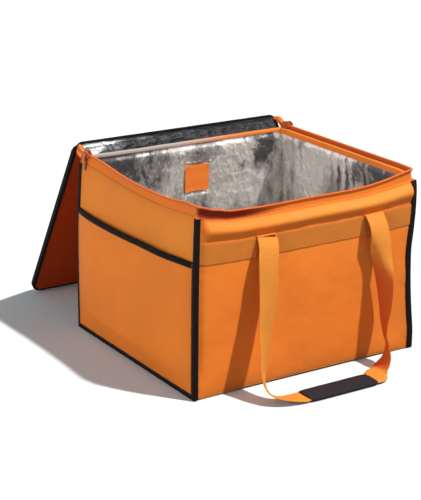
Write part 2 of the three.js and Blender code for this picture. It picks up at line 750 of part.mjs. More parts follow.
function slider(side, sign) {
  const coilCentre = tapeTop + coilHeight / 2;
  const group = new THREE.Group();
  const onCoil = new THREE.Vector3(sign * (halfWidth - tapeCentre), halfDepth - sliderInset, coilCentre);
  group.position.copy(slump(onCoil));
  bag.add(group);
  const half = sliderLength / 2;
  const waistShare = 0.35;
  const taperShare = 0.55;
  const bridgeShares = [0.8, 0.4];
  const flangeShare = 0.9;
  const [endLow, endHigh] = [plateLow * taperShare, plateHigh * taperShare];
  const outline = [[-half, endLow], [-half * waistShare, plateLow], [half, endLow],
    [half, endHigh], [-half * waistShare, plateHigh], [-half, endHigh]]
    .map(([u, v]) => new THREE.Vector2(u, v));
  const plates = [-1, 1].map((end) => extrudeX(outline, ...sorted(end * plateInner, end * plateOuter)));
  const bridgeLow = coilHeight / 2 + bridgeGap;
  const bridgeHeights = [bridgeLow, bridgeLow + bridgeThickness];
  const across = plateInner + seamGap;
  const bridge = slab([-across, across], bridgeShares.map((s) => -s * half), bridgeHeights);
  const flanges = [-1, 1].map((end) => slab(
    sorted(end * flangeInner, end * across),
    [-half * flangeShare, half * flangeShare],
    [plateLow, plateLow + flangeThickness],
  ));
  const earX = sorted(sign * (plateOuter - seamGap), sign * (plateOuter + earReach));
  const ears = [-1, 1].map((end) => slab(
    earX,
    sorted(end * earInner, end * (earInner + earThickness)),
    [earLow, earHigh],
  ));
  const pin = new THREE.Vector2(pinRise, sign * pinOut);
  const pinHalf = earInner + earThickness / 2;
  const rod = extrudeY(arc(pin.x, pin.y, pinRadius, 0, 2 * Math.PI, 8).slice(1), -pinHalf, pinHalf);
  const pieces = [bridge, ...flanges, ...ears, rod, plates[1]];
  place(`${side}_slider`, pieces.reduce(joined, plates[0]), 'metal', group);
  pullTab(side, group, pin);
}

function pullTab(side, group, pin) {
  const neck = pin.x - tabEye * Math.SQRT2;
  const half = tabThickness / 2;
  const eyeTurn = Math.PI * 0.7;
  const outline = [
    ...arc(pin.x, pin.y, tabEye, -eyeTurn, eyeTurn, 10),
    new THREE.Vector2(neck, pin.y + half),
    new THREE.Vector2(pin.x - tabLength, pin.y + half),
    new THREE.Vector2(pin.x - tabLength, pin.y - half),
    new THREE.Vector2(neck, pin.y - half),
  ];
  const hole = arc(pin.x, pin.y, tabHole, 0, 2 * Math.PI, 10).slice(1);
  place(`${side}_pull_tab`, extrudeY(outline, -tabWidth / 2, tabWidth / 2, [hole]), 'metal', group);
}

walls();
base();
seamBinding('left_seam_binding', -1);
seamBinding('right_seam_binding', 1);
rimFacing();
bodyZip();
strapMounts();
pocket();
liningPatch();
hingeStrip();
lid();
handles();
slider('left', -1);
slider('right', 1);

export default bag;
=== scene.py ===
"""Looks of an insulated delivery bag that stands open with its lid folded back.

Shapes are worked out in millimetres, in the frame of the CAD model, and turned into metres
when their meshes are made: +Z up, the front towards -Y, the pocket side towards -X.
"""

import math

import bpy
import numpy as np
from mathutils import Matrix, Vector


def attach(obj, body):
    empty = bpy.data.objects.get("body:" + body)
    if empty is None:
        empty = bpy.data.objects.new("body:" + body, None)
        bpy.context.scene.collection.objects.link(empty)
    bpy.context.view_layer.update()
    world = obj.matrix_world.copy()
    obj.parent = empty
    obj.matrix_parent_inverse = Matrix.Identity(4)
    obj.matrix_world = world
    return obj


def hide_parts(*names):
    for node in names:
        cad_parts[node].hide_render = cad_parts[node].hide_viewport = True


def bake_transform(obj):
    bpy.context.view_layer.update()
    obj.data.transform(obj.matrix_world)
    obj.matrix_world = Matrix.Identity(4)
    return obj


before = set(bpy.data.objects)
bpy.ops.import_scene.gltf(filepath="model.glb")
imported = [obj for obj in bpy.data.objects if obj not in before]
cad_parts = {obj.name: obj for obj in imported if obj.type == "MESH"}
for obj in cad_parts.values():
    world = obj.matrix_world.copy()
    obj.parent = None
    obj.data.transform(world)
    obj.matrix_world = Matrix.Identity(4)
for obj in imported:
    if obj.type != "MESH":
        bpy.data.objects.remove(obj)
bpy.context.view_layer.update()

MM = 0.001
HALF_W = 227.5
HALF_D = 199.0
RIM = 332.0
WALL_FOOT = 2.6
PANEL_TOP = 312.0
BACK_PANEL_TOP = 317.2
SEAM_GROWTH = 2.3
SIDE_INSET = 1.5
FOAM_TOP = 322.0
FOAM_DEPTHS = (1.5, 10.5)
LINING_DEPTHS = (10.8, 11.6)
LINING_FOOT = 16.3
LINING_TOP = 315.2
BACK_LINING_TOP = 319.0
WEB_WIDTH = 38.0
BAND_LOW = 232.0
BAND_TOP = BAND_LOW + WEB_WIDTH
ROLL_LOW = BAND_TOP + 1.0
ROLL_TOP = 308.0
ANCHORS = {"front": (-94.0, 132.0), "rear": (-113.0, 113.0)}
SIDES = ("front", "back", "left", "right")

# The camera, worked out from the box's corners in the photograph

CAMERA_DEGREES = (32.8389, 18.3074, 0.4987)
CAMERA_PLACE = (-1.467738, -2.164212, 1.030416)
CAMERA_LENS = 111.248


def add_object(name, data):
    obj = bpy.data.objects.new(name, data)
    bpy.context.scene.collection.objects.link(obj)
    return obj


def make_camera():
    azimuth, elevation, roll = (math.radians(a) for a in CAMERA_DEGREES)
    level = math.cos(elevation)
    forward = Vector((math.sin(azimuth) * level, math.cos(azimuth) * level, -math.sin(elevation)))
    right = forward.cross(Vector((0, 0, 1))).normalized()
    up = right.cross(forward)
    turned_right = right * math.cos(roll) + up * math.sin(roll)
    turned_up = up * math.cos(roll) - right * math.sin(roll)
    data = bpy.data.cameras.new("photo_camera")
    data.sensor_width = 36.0
    data.lens = CAMERA_LENS
    data.clip_start = 0.1
    data.clip_end = 100.0
    camera = add_object("photo_camera", data)
    turn = Matrix((turned_right, turned_up, -forward)).transposed().to_4x4()
    camera.matrix_world = Matrix.Translation(Vector(CAMERA_PLACE)) @ turn
    bpy.context.scene.camera = camera


# Smooth functions, noise and lines of points


def clamp(value, low=0.0, high=1.0):
    return np.clip(value, low, high)


def ease(value):
    value = clamp(value)
    return value * value * (3 - 2 * value)


def pillow(x, y):
    """1 over the middle of a square from -1 to 1, falling to 0 at its edges."""
    return clamp(1 - x**4) * clamp(1 - y**4)


def all_round(count):
    return np.linspace(0, 2 * math.pi, count, endpoint=False)


def join(*columns):
    """Points from their coordinates, which are spread over each other's shape."""
    return np.stack(np.broadcast_arrays(*columns), -1)


def grid(across, along):
    return np.meshgrid(across, along, indexing="ij")


def units(vectors):
    return vectors / np.linalg.norm(vectors, axis=-1, keepdims=True)


def run_along(line):
    """The distance from a line's start to each of its points."""
    return np.concatenate([[0], np.cumsum(np.linalg.norm(np.diff(line, axis=0), axis=1))])


def at_run(places, run, values):
    """Values, given at each point of a line, at other distances along it."""
    return join(*(np.interp(places, run, column) for column in values.T))


def beside(points, out, inward, height):
    """A flat line's points moved inwards, square to the line, and lifted to their heights."""
    xy = points[:, None, :] - out[:, None, :] * inward[..., None]
    return join(xy[..., 0], xy[..., 1], height)


def smooth_table(value, places, heights):
    """A smooth curve through a table of heights."""
    places = np.asarray(places, float)
    heights = np.asarray(heights, float)
    slopes = np.gradient(heights, places)
    i = clamp(np.searchsorted(places, value) - 1, 0, len(places) - 2).astype(int)
    span = places[i + 1] - places[i]
    t = clamp((value - places[i]) / span)
    a, b = heights[i], heights[i + 1]
    c, d = slopes[i] * span, slopes[i + 1] * span
    cubic = (2 * a - 2 * b + c + d) * t + (-3 * a + 3 * b - 2 * c - d)
    return (cubic * t + c) * t + a


def noise(u, v, seed):
    """Smooth noise, about -1 to 1, with a feature at each whole number."""
    angles = np.random.default_rng(seed).uniform(0, 2 * math.pi, (64, 64))
    iu, iv = (np.floor(value).astype(int) for value in (u, v))
    fu, fv = u - iu, v - iv

    def corner(du, dv):
        angle = angles[(iu + du) % 64, (iv + dv) % 64]
        return np.cos(angle) * (fu - du) + np.sin(angle) * (fv - dv)

    su, sv = ease(fu), ease(fv)
    low = corner(0, 0) * (1 - su) + corner(1, 0) * su
    high = corner(0, 1) * (1 - su) + corner(1, 1) * su
    return 1.4 * (low * (1 - sv) + high * sv)


def fractal(u, v, seed, octaves):
    """Noise with finer and weaker noise on top of it."""
    return sum(0.5**k * noise(u * 2**k, v * 2**k, seed + k) for k in range(octaves))


def creases(u, v, seed, octaves=3):
    """Sharp ridges between smooth hollows, 0 to about 2."""
    ridges = ((1 - np.abs(noise(u * 2**k, v * 2**k, seed + k))) ** 3 for k in range(octaves))
    return sum(0.55**k * ridge for k, ridge in enumerate(ridges))


def pucker(along, away, seed, pitch=11.0, reach=9.0):
    """Small tucks square to a seam that fade with the distance from it."""
    away = np.maximum(away, 0)
    return noise(along / pitch, away / 40, seed) * np.exp(-away / reach)


# The bag's soft shape

LEFT_RIM_PLACES = (-199, -164, -126, -83, -32, 3, 38, 75, 112, 165, 199)
LEFT_RIM_HEIGHTS = (5.5, 3.6, -2.0, -6.2, -7.8, -8.2, -7.6, -4.6, -0.8, 1.5, 1.5)
FRONT_RIM_PLACES = (-228, -213, -200, -186, -166, -140, -100, -50, 0, 45, 80, 110, 140, 170, 200, 228)
FRONT_RIM_HEIGHTS = (-0.5, -1.5, 0, 5.5, 10.2, 9.6, 7.5, 6.6, 6.2, 5.2, 4.5, 2.0, -2.0, -5.0, -5.0, -3.0)
WAIST_HEIGHTS = (0, 25, 90, 150, 186, 230, 270, 300, 334)
WAIST_SHIFTS = (0, 0, -7, -11.5, -11.5, -4.5, 2, 5.5, 5.5)
WAIST_END = 262.0
LEAN_START = 140.0
RIM_LEAN = 10.0
FRONT_SAG = 23.0
LEFT_DROP = 8.0
SAG_RAMPS = (70.0, 150.0)
ROLL_BULGE = 9.2
SOLID_ROLL_BULGE = 9.0
FRONT_REACH = 40.0
FOOT_RISE = 4.0
FOOT_HEIGHT = 45.0


def roll_ends(x):
    """The padded roll ends steeply beside the left corner and runs on to the right one."""
    return ease((x + HALF_W - 9) / 16) * ease((HALF_W + 2 - x) / 16)


def roll_profile(rise):
    """The roll's fullness from its foot at the band, 0, to its top under the zip, 1."""
    return np.sin(np.pi * rise**1.25) ** 1.25


def roll_rise(z):
    return clamp((z - ROLL_LOW) / (ROLL_TOP - ROLL_LOW))


def straight_slump(x, y, z):
    """How the solids slump too: where the sag and the roll show, the lean, the fade and the drop."""
    lean = RIM_LEAN * clamp((z - LEAN_START) / (RIM - LEAN_START)) ** 2
    fade = clamp(z / RIM, 0, 1.1) ** 5
    ramp = ease((HALF_W - x) / SAG_RAMPS[1]) * ease((x + HALF_W) / SAG_RAMPS[0])
    near = clamp((-y - HALF_D + 2 * FRONT_REACH) / FRONT_REACH)
    across = clamp(x / (2 * HALF_W) + 0.5)
    front = clamp(0.5 - y / (2 * HALF_D))
    drop = (across - LEFT_DROP * (1 - across)) * front - FRONT_SAG * ramp * near
    return ramp, near, front, lean, fade, drop


def slump(p):
    """Moves points of the straight box to their places on the slumped bag."""
    x, y, z = p[..., 0], p[..., 1], p[..., 2]
    _, near, front, lean, fade, drop = straight_slump(x, y, z)
    roll = ROLL_BULGE * roll_profile(roll_rise(z)) * roll_ends(x) * near
    drop = drop + ease((-x - 150) / 70) * smooth_table(y, LEFT_RIM_PLACES, LEFT_RIM_HEIGHTS)
    facing = -y - HALF_D + FRONT_REACH
    drop = drop + ease((facing + 2) / 38) * smooth_table(x, FRONT_RIM_PLACES, FRONT_RIM_HEIGHTS)
    middle = 1 - clamp(np.abs(x) / HALF_W) ** 6
    foot = FOOT_RISE * ease(facing / 38) * middle * ease((FOOT_HEIGHT - z) / FOOT_HEIGHT)
    upper = ease((z - WAIST_END) / 25)
    right = ease((x - 90) / 140) * ((1 - upper) * front**0.6 + upper * ease((-y - 150) / 49))
    waist = smooth_table(z, WAIST_HEIGHTS, WAIST_SHIFTS) * right
    moved_y = y + lean * clamp(-y / HALF_D, 0, 2) - roll
    return join(x - lean * x / HALF_W + waist, moved_y, z + fade * drop + foot)


def strap_fold(x, y, z):
    """A point's place on the solids, without the render's own softening."""
    ramp, near, _, lean, fade, drop = straight_slump(x, y, z)
    roll = SOLID_ROLL_BULGE * np.sin(np.pi * roll_rise(z)) ** 2 * ramp * near
    return join(x - lean * x / HALF_W, y + lean * clamp(-y / HALF_D, 0, 2) - roll, z + fade * drop)


def common_relief(side, along, z):
    """How far all the layers of a wall stand out from the flat, in step with each other."""
    half = HALF_W if side in ("front", "back") else HALF_D
    full = pillow(along / half, (z - 150) / 150)
    seed = 3 + 10 * SIDES.index(side)
    relief = 2.6 * full + 1.3 * full * fractal(along / 130, z / 110, seed, 2)
    if side == "front":
        lumps = noise(along / 34, z / 60, 5) * roll_ends(along)
        relief = relief + 0.8 * np.sin(np.pi * roll_rise(z)) * lumps
        relief = relief - 3.0 * (1 - ease((along + HALF_W - 7) / 13)) * ease((z - 20) / 40)
    return relief


def groove(z):
    """The hollow between the padded roll and the lip of the rim."""
    return ease((z - 309.5) / 3) * (1 - ease((z - 323.5) / 4.5))


def on_wall(side, along, z, lift):
    """The places on the slumped bag of points that stand out from a wall's flat outer face."""
    sign = -1 if side in ("front", "left") else 1
    if side in ("front", "back"):
        return slump(join(along, sign * (HALF_D + lift), z))
    return slump(join(sign * (HALF_W + lift), along, z))


# Meshes


def volume(verts, faces):
    """Six times the volume inside the faces, positive where they face out."""
    total = 0.0
    for size in {len(face) for face in faces}:
        corners = verts[np.array([face for face in faces if len(face) == size])]
        for j in range(1, size - 1):
            total += float((corners[:, 0] * np.cross(corners[:, j], corners[:, j + 1])).sum())
    return total


def make_mesh(name, verts, faces, look, body, uv=None, sharp=50.0, tone_and_painted_light=None):
    """One object from vertices in millimetres, facing out, with smooth shading."""
    verts = np.asarray(verts, float)
    if volume(verts - verts.mean(0), faces) < 0:
        faces = [tuple(reversed(face)) for face in faces]
    mesh = bpy.data.meshes.new(name)
    mesh.from_pydata((verts * MM).tolist(), [], [tuple(int(i) for i in face) for face in faces])
    mesh.polygons.foreach_set("use_smooth", np.ones(len(mesh.polygons), bool))
    if uv is not None:
        loops = np.zeros(len(mesh.loops), int)
        mesh.loops.foreach_get("vertex_index", loops)
        layer = mesh.uv_layers.new(name="UVMap")
        layer.data.foreach_set("uv", (uv.reshape(-1, 2)[loops] * MM).ravel())
    if tone_and_painted_light is not None:
        # The attribute holds darker edges and colour mixes, and the painted shade and painted highlights
        # that the materials mix in.
        attribute = mesh.attributes.new("tone_and_painted_light", "FLOAT", "POINT")
        attribute.data.foreach_set("value", np.asarray(tone_and_painted_light, np.float32).ravel())
    mesh.set_sharp_from_angle(angle=math.radians(sharp))
    mesh.materials.append(LOOKS[look])
    obj = add_object(name, mesh)
    if body:
        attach(obj, body)
    return obj


def grid_faces(ids):
    return np.stack([ids[:-1, :-1], ids[1:, :-1], ids[1:, 1:], ids[:-1, 1:]], -1).reshape(-1, 4)


def ring_faces(ids, closed=False):
    """Quads between rings of points, with a cap at each end unless the rings close on themselves."""
    a = ids if closed else ids[:-1]
    b = np.roll(ids, -1, 0) if closed else ids[1:]
    quads = np.stack([a, b, np.roll(b, -1, 1), np.roll(a, -1, 1)], -1).reshape(-1, 4).tolist()
    return quads if closed else quads + [tuple(ids[0]), tuple(ids[-1][::-1])]


def sandwich(name, outer, inner, look, body, uv=None, tone_and_painted_light=None, sharp=50.0):
    """A thin closed piece between two grids of points, with one set of tone and painted light for both
    faces, or one for each face.
    """
    n, m = outer.shape[:2]
    verts = np.concatenate([outer.reshape(-1, 3), inner.reshape(-1, 3)])
    ids = np.arange(n * m).reshape(n, m)
    edge = np.concatenate([ids[:, 0], ids[-1, 1:], ids[-2::-1, -1], ids[0, -2:0:-1]])
    after = np.roll(edge, -1)
    rim = np.stack([edge, edge + n * m, after + n * m, after], 1)
    faces = np.concatenate([grid_faces(ids), grid_faces(ids + n * m)[:, ::-1], rim]).tolist()
    if uv is not None:
        uv = np.concatenate([uv.reshape(-1, 2)] * 2)
    if tone_and_painted_light is not None:
        both = tone_and_painted_light if isinstance(tone_and_painted_light, tuple) else (tone_and_painted_light, tone_and_painted_light)
        tone_and_painted_light = [np.broadcast_to(tone_and_shade_share, (n, m)) for tone_and_shade_share in both]
    return make_mesh(name, verts, faces, look, body, uv, sharp, tone_and_painted_light)


def tube(name, rings, look, body, closed=False, uv=None, sharp=50.0, tone_and_painted_light=None):
    """A solid through rings of points, capped at its ends or closed on itself."""
    n, m = rings.shape[:2]
    faces = ring_faces(np.arange(n * m).reshape(n, m), closed)
    tone_and_painted_light = None if tone_and_painted_light is None else np.broadcast_to(tone_and_painted_light, (n, m))
    return make_mesh(name, rings.reshape(-1, 3), faces, look, body, uv, sharp, tone_and_painted_light)


def dress(obj, slot, *nodes):
    """Hides the CAD nodes that a piece stands for. Its slot is not used."""
    if nodes:
        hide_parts(*nodes)


def dress_sheet(obj, slot, node, width, length, held, *rests_on):
    dress(obj, slot, node)


def dress_padding(obj, slot, node):
    dress(obj, slot, node)


STITCH_PITCH = 5.0
STITCH_LENGTH = 3.2
STITCH_RADIUS = 0.28


def stitches(name, lines, look, body, slot):
    """Short raised stitches along lines of points, each line with the outward normals of its points."""
    angles = all_round(6)
    ends = np.array([-0.5, 0.55, 0.55, -0.5])[:, None]
    up = STITCH_RADIUS * (ends + 0.8 * np.sin(angles))[..., None]
    across = STITCH_RADIUS * np.cos(angles)[:, None]
    verts, faces = [], []
    ring_ids = np.arange(24).reshape(4, 6)
    for points, normals in lines:
        run = run_along(points)
        normals = np.broadcast_to(np.asarray(normals, float), points.shape)
        for start in np.arange(STITCH_PITCH / 2, run[-1] - STITCH_LENGTH, STITCH_PITCH):
            centre = at_run(start + np.array([0, 0.2, 0.8, 1]) * STITCH_LENGTH, run, points)
            normal = at_run(start, run, normals)
            along = units(centre[-1] - centre[0])
            normal = units(normal - along * normal.dot(along))
            faces += ring_faces(ring_ids + 24 * len(verts))
            verts.append(centre[:, None] + normal * up + np.cross(along, normal) * across)
    obj = make_mesh(name, np.concatenate(verts).reshape(-1, 3), faces, look, body, sharp=60)
    dress(obj, slot)


# Materials


def seen_directly(tree):
    """1 where the camera, a reflection or clear glass looks at a surface, and 0 for its light."""
    path = tree.nodes.new("ShaderNodeLightPath")
    seen = path.outputs["Is Camera Ray"]
    for ray in ("Is Glossy Ray", "Is Transmission Ray"):
        either = tree.nodes.new("ShaderNodeMath")
        either.operation = "MAXIMUM"
        tree.links.new(seen, either.inputs[0])
        tree.links.new(path.outputs[ray], either.inputs[1])
        seen = either.outputs["Value"]
    return seen


class Shader:
    """A material with its nodes at hand."""

    def __init__(self, name):
        self.material = bpy.data.materials.new(name)
        self.material.use_nodes = True
        self.tree = self.material.node_tree
        self.surface = self.tree.nodes["Principled BSDF"]

    def add(self, kind, properties=None, **inputs):
        node = self.tree.nodes.new(kind)
        for key, value in (properties or {}).items():
            setattr(node, key, value)
        for key, value in inputs.items():
            self.feed(node.inputs[key.replace("_", " ")], value)
        return node

    def feed(self, socket, value):
        if hasattr(value, "is_linked"):
            self.tree.links.new(value, socket)
        else:
            socket.default_value = value

    def coordinates(self, use_uv=True):
        if use_uv:
            return self.add("ShaderNodeUVMap").outputs["UV"]
        return self.add("ShaderNodeTexCoord").outputs["Object"]

    def tone_and_painted_light(self):
        # Reads the attribute with the darker edges, the painted shade and the painted highlights.
        return self.add("ShaderNodeAttribute", {"attribute_name": "tone_and_painted_light"}).outputs["Fac"]

    def noise(self, vector, scale, detail=3.0, roughness=0.5):
        inputs = {"Vector": vector, "Scale": scale, "Detail": detail, "Roughness": roughness}
        return self.add("ShaderNodeTexNoise", Distortion=0.0, **inputs).outputs["Fac"]

    def cells(self, vector, scale):
        node = self.add("ShaderNodeTexVoronoi", {"feature": "F1"}, Vector=vector, Scale=scale)
        return node.outputs["Distance"]

    def waves(self, vector, direction, pitch, distortion=0.0):
        bands = {"wave_type": "BANDS", "bands_direction": direction}
        scale = 2 * math.pi / 20 / (pitch * MM)
        node = self.add("ShaderNodeTexWave", bands, Vector=vector, Scale=scale, Distortion=distortion)
        return node.outputs["Fac"]

    def math(self, operation, first, second=0.0, third=0.0):
        node = self.add("ShaderNodeMath", {"operation": operation})
        for socket, value in zip(node.inputs, (first, second, third)):
            self.feed(socket, value)
        return node.outputs["Value"]

    def between(self, value, low, high, out_low=0.0, out_high=1.0):
        ends = {"From_Min": low, "From_Max": high, "To_Min": out_low, "To_Max": out_high}
        return self.add("ShaderNodeMapRange", {"clamp": True}, Value=value, **ends).outputs["Result"]

    def mix(self, factor, first, second):
        node = self.add("ShaderNodeMix", {"data_type": "RGBA", "blend_type": "MIX"})
        self.feed(node.inputs[0], factor)
        for socket, value in ((node.inputs[6], first), (node.inputs[7], second)):
            self.feed(socket, value if hasattr(value, "is_linked") else (*value, 1.0))
        return node.outputs[2]

    def bump(self, height, distance, strength, normal=None):
        """Relief whose depth is in millimetres, on top of another relief."""
        node = self.add("ShaderNodeBump", Height=height, Distance=distance * MM, Strength=strength)
        if normal is not None:
            self.feed(node.inputs["Normal"], normal)
        return node.outputs["Normal"]

    def done(self, color, roughness, normal, specular, metallic=0.0):
        inputs = {"Base Color": color, "Roughness": roughness, "Normal": normal}
        inputs.update({"Specular IOR Level": specular, "Metallic": metallic})
        for key, value in inputs.items():
            self.feed(self.surface.inputs[key], value)
        return self.material


def shade(color, share):
    return tuple(min(1.0, c * share) for c in color)


def cloth_material(name, color, use_uv=True, tone_and_shade_share=0.0, seam=None, painted_highlight=None):
    """Coated woven cloth: a fine weave, soft mottling, and colour mixed in by its attribute: darker edges,
    foil colour, painted shade, and a painted golden highlight where the attribute is negative.
    """
    s = Shader(name)
    place = s.coordinates(use_uv)
    blotch = s.noise(place, 9.0, 4.0, 0.55)
    tint = s.mix(s.between(blotch, 0.35, 0.65), shade(color, 0.93), shade(color, 1.05))
    grain = s.noise(place, 900.0, 2.0, 0.6)
    tint = s.mix(s.between(grain, 0.3, 0.7, 0, 0.12), tint, shade(color, 0.7))
    if tone_and_shade_share:
        amount = s.tone_and_painted_light()
        # Painted highlight: where the attribute is negative, the cloth turns golden as if lit by the sun.
        if painted_highlight:
            tint = s.mix(s.between(amount, 0.0, -1.0), tint, painted_highlight)
            amount = s.math("MAXIMUM", amount, 0.0)
        # Mixes towards the second colour: darker edges on the panels, foil colour on the rim's facing, and
        # painted shade on the lid and the zip tape.
        tint = s.mix(s.math("MULTIPLY", amount, tone_and_shade_share), tint, seam or shade(color, 0.45))
    threads = s.math("MAXIMUM", s.waves(place, "X", 0.8), s.waves(place, "Y", 0.8))
    normal = s.bump(threads, 0.12, 0.5)
    normal = s.bump(s.noise(place, 38.0, 5.0, 0.6), 2.2, 0.22, normal)
    return s.done(tint, s.between(blotch, 0.3, 0.7, 0.54, 0.66), normal, 0.14)


def webbing_material(name, color, rough=0.62, deep=None):
    """Ribbed webbing: fine ribs across and a coarser twill along, with painted shade in a deeper red where
    its attribute says so.
    """
    s = Shader(name)
    place = s.coordinates()
    blotch = s.noise(place, 16.0, 4.0, 0.6)
    tint = s.mix(s.between(blotch, 0.3, 0.7), shade(color, 0.9), shade(color, 1.06))
    if deep:
        # Painted shade: a deeper red where the attribute says so.
        tint = s.mix(s.tone_and_painted_light(), tint, deep)
    ribs = s.waves(place, "X", 1.9, 0.6)
    rows = s.waves(place, "Y", 2.6)
    # Painted shade in the grooves between the ribs.
    tint = s.mix(s.between(ribs, 0.0, 0.35, 0.22, 0.0), tint, shade(color, 0.55))
    threads = s.math("MULTIPLY", ribs, s.between(rows, 0, 1, 0.6, 1.0))
    return s.done(tint, rough, s.bump(threads, 0.5, 0.55), 0.12)


def binding_material(name, color):
    """Black tape with a fuzzy surface."""
    s = Shader(name)
    place = s.coordinates(False)
    fuzz = s.noise(place, 260.0, 3.0, 0.7)
    tint = s.mix(s.between(fuzz, 0.3, 0.75), shade(color, 0.6), shade(color, 2.2))
    threads = s.noise(place, 1400.0, 1.0, 0.5)
    return s.done(tint, 0.75, s.bump(threads, 0.25, 0.6), 0.07)


def foil_material(name, light, middle, dark, stretch, gloss):
    """Crinkled metallised film: facets of many sizes, patches of random tone, painted shade and painted
    reflections where its attribute says so, and sharp creases.
    """
    s = Shader(name)
    place = s.add("ShaderNodeMapping", Vector=s.coordinates(), Scale=(*stretch, 1.0)).outputs["Vector"]
    warp = s.noise(place, 14.0, 3.0, 0.5)
    offset = s.add("ShaderNodeVectorMath", {"operation": "SCALE"}, Scale=0.06)
    s.feed(offset.inputs[0], warp)
    bent = s.add("ShaderNodeVectorMath", {"operation": "ADD"})
    s.feed(bent.inputs[0], place)
    s.feed(bent.inputs[1], offset.outputs["Vector"])
    field = bent.outputs["Vector"]
    # Painted shade and painted reflections, from the attribute.
    shadiness = s.tone_and_painted_light()
    patches = s.noise(field, 13.0, 6.0, 0.64)
    level = s.math("MULTIPLY_ADD", shadiness, 0.42, patches)
    tint = s.mix(s.between(level, 0.57, 0.68), light, middle)
    flecks = s.noise(field, 26.0, 8.0, 0.72)
    deep = s.math("MULTIPLY_ADD", shadiness, 0.36, flecks)
    tint = s.mix(s.between(deep, 0.68, 0.76, 0.0, 0.92), tint, dark)
    normal = s.bump(s.cells(field, 36.0), 3.6, 0.5)
    normal = s.bump(s.cells(field, 100.0), 1.1, 0.45, normal)
    normal = s.bump(s.noise(field, 30.0, 8.0, 0.66), 6.0, 0.6, normal)
    return s.done(tint, s.between(patches, 0.35, 0.65, 0.22, 0.42), normal, gloss, 0.6)


def plain_material(name, color, rough, grain, metallic=0.0, depth=0.15, specular=0.5):
    """A grainy solid colour, for moulded, cut or cast pieces."""
    s = Shader(name)
    fleck = s.noise(s.coordinates(False), grain, 4.0, 0.6)
    tint = s.mix(s.between(fleck, 0.3, 0.7), shade(color, 0.88), shade(color, 1.08))
    roughness = s.between(fleck, 0.3, 0.7, rough - 0.05, rough + 0.08)
    return s.done(tint, roughness, s.bump(fleck, depth, 0.5), specular, metallic)


def floor_material():
    """Pale for the camera and for reflections, and darker for the light that it throws back."""
    s = Shader("floor")
    s.tree.nodes.remove(s.surface)
    tint = s.mix(seen_directly(s.tree), FLOOR_BOUNCE, FLOOR_COLOR)
    diffuse = s.add("ShaderNodeBsdfDiffuse", Color=tint)
    s.feed(s.tree.nodes["Material Output"].inputs["Surface"], diffuse.outputs["BSDF"])
    return s.material


FLOOR_BOUNCE = (0.24, 0.235, 0.23)
FLOOR_COLOR = (0.625, 0.68, 0.72)
ORANGE = (0.76, 0.195, 0.024)
# Painted highlight colour for the top of the front's padded roll.
PAINTED_HIGHLIGHT_GOLD = (0.65, 0.235, 0.033)
ORANGE_SIDE = (0.75, 0.23, 0.030)
ORANGE_POCKET = (0.76, 0.205, 0.025)
ORANGE_PATCH = (0.86, 0.21, 0.03)
# The lid's orange, made redder than the bag's as painted shade.
LID_ORANGE_REDDENED_FOR_SHADE = (0.71, 0.14, 0.017)
# Painted shade colour on the lid, away from its fold.
LID_PAINTED_SHADE_RED = (0.64, 0.068, 0.011)
FACING = (0.72, 0.19, 0.028)
FACING_FOIL = (0.36, 0.32, 0.29)
TAPE = (0.71, 0.18, 0.022)
# Painted shade colour on the zip tape.
TAPE_PAINTED_SHADE_RED = (0.20, 0.012, 0.006)
COIL = (0.56, 0.115, 0.02)
WEB = (0.64, 0.225, 0.032)
# Painted shade colour on the front strap's turned right leg.
WEB_PAINTED_SHADE_RED = (0.5, 0.088, 0.016)
BAND = (0.53, 0.165, 0.025)
GRIP = (0.019, 0.016, 0.019)
BLACK = (0.0055, 0.0035, 0.0035)
BLACK_COIL = (0.02, 0.018, 0.018)
FOAM = (0.86, 0.84, 0.78)
BOARD = (0.04, 0.042, 0.045)
METAL = (0.42, 0.10, 0.03)
THREAD = (0.72, 0.22, 0.05)
DARK_THREAD = (0.03, 0.025, 0.025)
FOIL_LOOK = ((0.77, 0.74, 0.71), (0.34, 0.325, 0.32), (0.07, 0.066, 0.07), (1.0, 0.6), 0.5)
# A darker copy of the foil for the hinge strip, as painted shade and painted reflections.
PAINTED_DARK_HINGE_FOIL_LOOK = ((0.46, 0.455, 0.45), (0.045, 0.045, 0.05), (0.01, 0.01, 0.012), (0.3, 1.2), 0.12)

